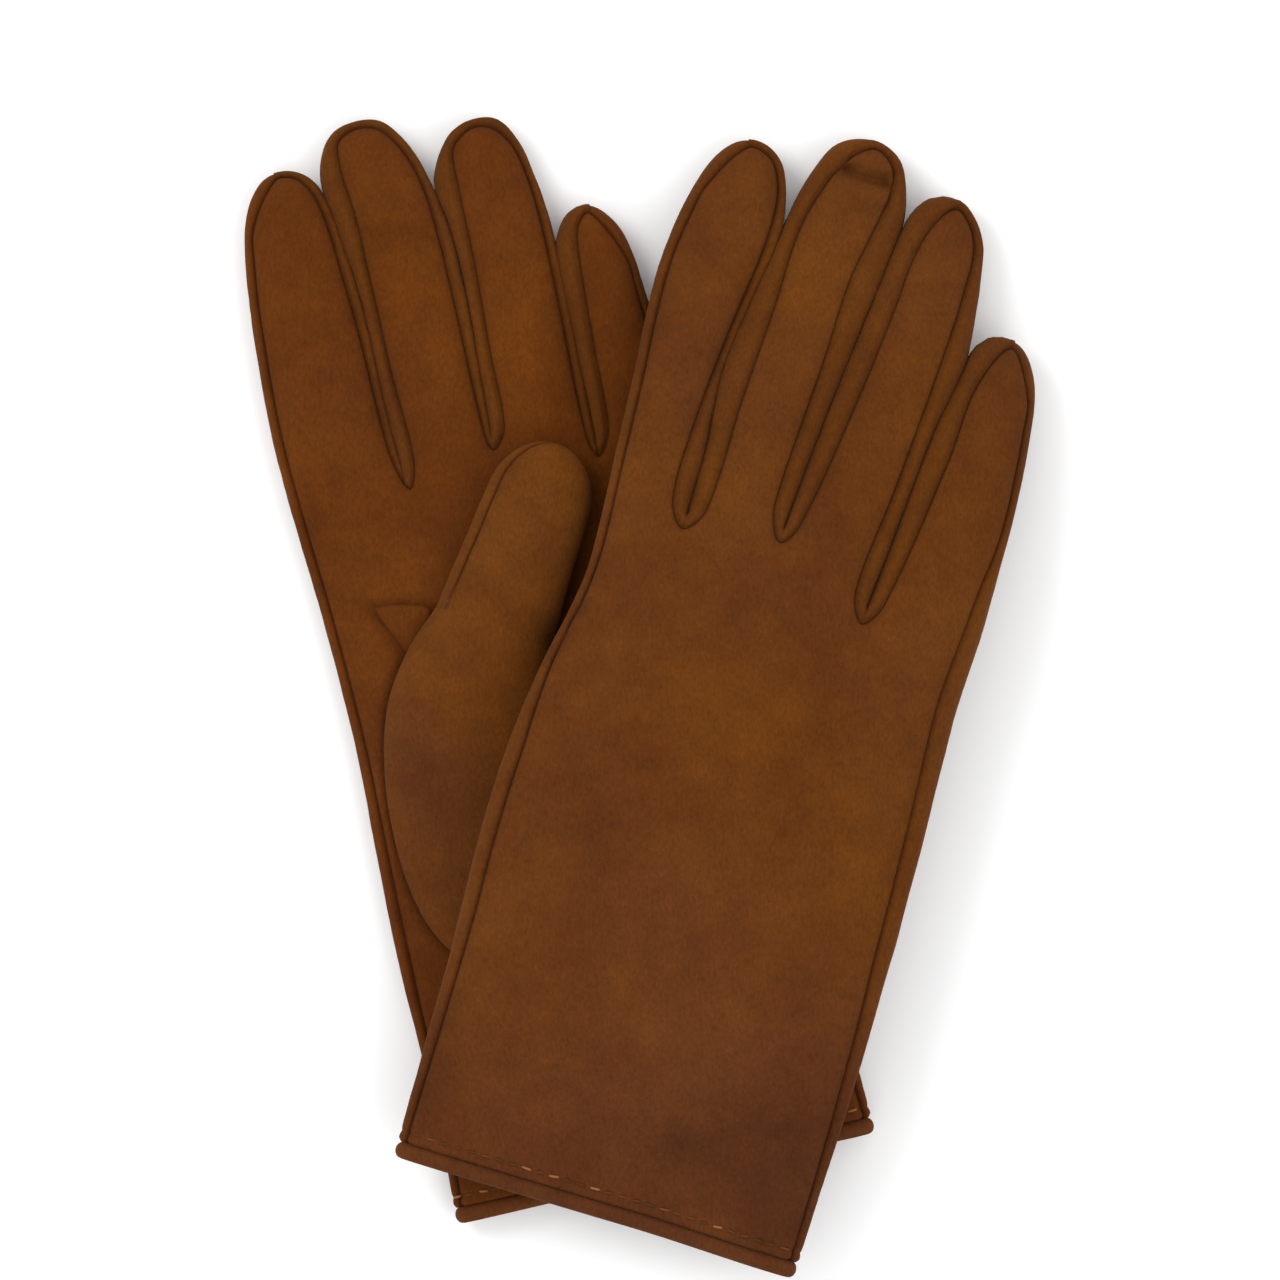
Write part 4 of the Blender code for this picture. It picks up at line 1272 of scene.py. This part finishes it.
def add_thumb_lining(glove):
    root, along, across = thumb_axes(glove)
    middle = HAND_HALF_HEIGHT + THUMB_CLEARANCE + THUMB_HALF_HEIGHT
    rows = []
    for t in np.linspace(0.04, 1, 26):
        distance = t * (THUMB_LENGTH - LINING_INSET_FINGER)
        taper = closing(distance, THUMB_LINING_STRAIGHT, THUMB_LINING_TIP, least=0.0004)
        width = (mix(THUMB_BASE_HALF_WIDTH, THUMB_TIP_HALF_WIDTH, t) - LINING_INSET_FINGER) * taper
        x, z = section_ring(width, (THUMB_HALF_HEIGHT - LINING_INSET_FINGER) * taper, FINGER_ROUNDNESS, 40)
        spot = root + along * distance + np.outer(x, across)
        rows.append(np.column_stack((spot, glove["palm_side"] * (middle + z))))
    name = glove["name"] + "_thumb_lining"
    piece = tube(name, np.array(rows), glove)
    blend_thumb(piece, glove)
    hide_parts(name)


def add_quirk(glove):
    side = glove["palm_side"]
    outline = quirk_outline(glove)
    flat, triangles = plan_mesh(outline, QUIRK_SPACING)
    height = surface_height(glove, flat[:, 0], flat[:, 1])
    points = np.column_stack((flat, height * side))
    triangles = faced(points, triangles, (0, 0, side))
    distance = distance_to(flat, looped(outline))
    depth = turned_in(distance, 1.1) + 0.25 - 0.5 * smooth(0, 4, distance)
    final = on_table(glove, points - vertex_normals(points, triangles) * depth[:, None])
    name = glove["name"] + "_quirk"
    # Painted shade: the colour darkens along the quirk's seam.
    groove, tone = shade_in_grooves(distance), tone_of(glove, points)
    piece = shell(name + "_suede", final, triangles, glove["name"] + "_panel", groove, tone)
    settle(piece, glove, name)


# ---------------------------------------------------------------- cuff and linings

def hand_ring(glove, y, inset, count):
    """Points round the hand at a distance from the cuff, evenly spaced."""
    angle = np.linspace(0, TURN, 721)
    cos = np.cos(angle)
    left, right = float(hand_edge(glove, y, -1)) - inset, float(hand_edge(glove, y, 1)) - inset
    width = np.where(cos < 0, left, right)
    x = width * rounded(cos, HAND_ROUNDNESS)
    z = (float(hand_height(y)) - inset) * rounded(np.sin(angle), HAND_ROUNDNESS)
    ring = np.stack([x, z], 1)
    return sample_at(ring, np.linspace(0, lengths_along(ring)[-1], count, endpoint=False))


def add_binding(glove):
    """The rolled cuff edge, slightly puckered by its stitches."""
    count, around = 220, 18
    ring = hand_ring(glove, ROLL_MIDDLE, ROLL_INSET, count)
    tangent = unit(np.roll(ring, -1, axis=0) - np.roll(ring, 1, axis=0))
    out = np.stack([tangent[:, 1], -tangent[:, 0]], 1)
    pucker = 1 + 0.05 * np.sin(np.arange(count) * TURN * CUFF_GIRTH / STITCH_PITCH / count)
    uneven = 1 + 0.07 * waves(np.column_stack((ring, np.zeros(count))), 7, BINDING_SEED)
    rows = []
    for k in range(around):
        angle = TURN * k / around
        reach = ROLL_HALF_SIZE[1] * math.sin(angle) * pucker * uneven
        y = np.full(count, ROLL_MIDDLE + ROLL_HALF_SIZE[0] * math.cos(angle))
        spot = ring + out * reach[:, None]
        rows.append(np.stack([spot[:, 0], y, spot[:, 1]], 1))
    rows = np.array(rows).transpose(1, 0, 2)
    rows = looped(rows)
    points = rows.reshape(-1, 3)
    triangles = grid_triangles(*rows.shape[:2], closed=True)
    points, triangles, _ = welded(points, triangles, np.zeros(len(points)))
    triangles = faced(points, triangles, (points - (0, ROLL_MIDDLE, 0)) * (0, 1, 0))
    # Painted shade: the roll's colour darkens towards the side where it meets the panel.
    mark = np.clip((points[:, 1] - HEM + 0.9) / 1.2, 0, 0.8)
    name = glove["name"] + "_cuff_binding"
    final, tone = on_table(glove, points), tone_of(glove, points)
    settle(solid(name + "_suede", final, triangles, "binding", mark, tone), glove, name)


def held_in(spots, outline, inset):
    """Plan points, moved in where they come closer to an outline than the inset."""
    nearest = nearest_on(spots, outline)
    within = inside(spots, outline)
    away = (spots - nearest) * np.where(within, 1, -1)[:, None]
    close = (np.linalg.norm(away, axis=1) < inset) | ~within
    return np.where(close[:, None], nearest + unit(away) * inset, spots)


def add_linings(glove):
    name = glove["name"]
    rows = []
    last = min(glove["roots"]) - 2
    for y in np.linspace(HEM - 0.6, last, 48):
        ring = hand_ring(glove, y, LINING_INSET_HAND, 96)
        rows.append(np.column_stack((ring[:, 0], np.full(96, y), ring[:, 1])))
    label = name + "_hand_lining"
    settle(tube(label, np.array(rows), glove), glove, label)
    for number, finger in enumerate(glove["frames"]):
        rows = []
        for t in np.linspace(0.004, 1, 34):
            short = (1 - math.sin(t * math.pi / 2)) * (finger["length"] - 2)
            distance = finger["length"] - LINING_INSET_FINGER - short
            width = max(float(finger_half_width(finger, distance + 0.6)) - LINING_INSET_FINGER, 0.1)
            rise = float(tip_taper(finger, distance + 1.0, TIP_RISE))
            high = max((FINGER_HALF_HEIGHT - LINING_DROP_FINGER) * rise, 0.1)
            x, z = section_ring(width, high, FINGER_ROUNDNESS, 36)
            spot = finger_spot(finger, np.full(36, distance), x)
            spot = held_in(spot, glove["finger_lines"][number], LINING_INSET_FINGER)
            rows.append(np.column_stack((spot, z)))
        label = name + "_" + FINGER_NAMES[number] + "_lining"
        settle(tube(label, np.array(rows), glove), glove, label, number)


def add_topstitch(glove):
    """The row of stitches along the cuff, above and below."""
    draw = random.Random(7 if glove is LEFT else 11)
    ring = hand_ring(glove, STITCH_LINE, 0.02, 720)
    total = lengths_along(looped(ring))[-1]
    count = int(total / STITCH_PITCH)
    points, faces, tones = [], [], []
    for i in range(count):
        place = (i + 0.5) / count * len(ring)
        here, ahead = ring[int(place) % len(ring)], ring[int(place + 2) % len(ring)]
        if abs(here[0]) > hand_edge(glove, STITCH_LINE, 1) - 1.2:
            continue
        along = unit(ahead - here)
        up = np.array((along[1], -along[0]))
        tilt = math.radians(draw.uniform(-9, 9))
        tone = 1.0 if draw.random() < TAN_STITCHES else draw.uniform(0.1, 0.75)
        length = STITCH_LENGTH * draw.uniform(0.88, 1.05)
        base = len(points)
        for j in range(STITCH_SIDES + 1):
            t = j / STITCH_SIDES * 2 - 1
            size = THREAD_RADIUS * math.sqrt(max(1 - t ** 4, 0.02))
            dip = 0.10 - 0.42 * t ** 4
            for k in range(STITCH_SIDES):
                angle = TURN * k / STITCH_SIDES
                step = t * length / 2
                lift = dip + size * math.sin(angle)
                spot = here + along * step * math.cos(tilt) + up * lift
                y = STITCH_LINE + step * math.sin(tilt) + size * math.cos(angle)
                points.append((spot[0], y, spot[1]))
                tones.append(tone)
        grid = grid_triangles(STITCH_SIDES + 1, STITCH_SIDES, closed=True) + base
        faces += [(a, b, c) for a, b, c in grid.tolist()]
        last = base + STITCH_SIDES ** 2
        for k in range(1, STITCH_SIDES - 1):
            faces += [(base, base + k, base + k + 1), (last, last + k + 1, last + k)]
    points = np.array(points)
    name = glove["name"] + "_cuff_topstitch"
    piece = solid(name, on_table(glove, points), np.array(faces), "thread", np.zeros(len(points)), tones)
    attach(piece, glove["name"] + "_hand")


# ---------------------------------------------------------------- studio

def add_floor():
    size, drop = 6.0, -0.0004
    mesh = bpy.data.meshes.new("floor")
    corners = [(-size, -size, drop), (size, -size, drop), (size, size, drop), (-size, size, drop)]
    mesh.from_pydata(corners, [], [(0, 1, 2, 3)])
    mesh.materials.append(floor_material())
    floor = bpy.data.objects.new("floor", mesh)
    bpy.context.scene.collection.objects.link(floor)


def add_light(name, position, size, power):
    data = bpy.data.lights.new(name, "AREA")
    data.shape, data.size, data.energy = "DISK", size, power
    light = bpy.data.objects.new(name, data)
    light.location = position
    light.rotation_euler = (-Vector(position)).to_track_quat("-Z", "Y").to_euler()
    bpy.context.scene.collection.objects.link(light)


def add_studio():
    world = bpy.data.worlds.new("studio")
    world.use_nodes = True
    background = world.node_tree.nodes["Background"]
    background.inputs["Color"].default_value = (*grey(1.0), 1.0)
    background.inputs["Strength"].default_value = 1.1
    bpy.context.scene.world = world
    bpy.context.scene.view_settings.view_transform = "Standard"
    add_light("key", (-0.75, 0.55, 1.1), 0.7, 6.0)
    add_light("fill", (0.9, -0.5, 1.2), 1.2, 4.0)


def add_camera():
    """Straight down from far away, over the middle of the pair."""
    lens, sensor, view, over = 200.0, 36.0, 0.2918, 0.015
    camera = bpy.data.cameras.new("camera")
    camera.lens = lens
    camera.sensor_width = sensor
    camera.clip_end = 20.0
    obj = bpy.data.objects.new("camera", camera)
    obj.location = (0.00084, 0.0118, over + view / 2 / (sensor / 2 / lens))
    bpy.context.scene.collection.objects.link(obj)
    bpy.context.scene.camera = obj


def build(glove):
    glove["frames"] = [finger_frame(glove, number) for number in range(4)]
    glove["outlines"] = [outline_of(glove, number) for number in range(4)]
    glove["finger_lines"] = [outline_of(glove, number, True) for number in range(4)]
    glove["side_lines"] = [curve_through(points)[0] for points in glove["sides"]]
    parts = seam_parts(glove)
    add_upper(glove, parts)
    add_lower(glove, parts)
    add_fourchettes(glove, parts)
    add_thumb(glove)
    add_binding(glove)
    add_topstitch(glove)
    add_linings(glove)


for each in (LEFT, RIGHT):
    build(each)
add_floor()
add_studio()
add_camera()
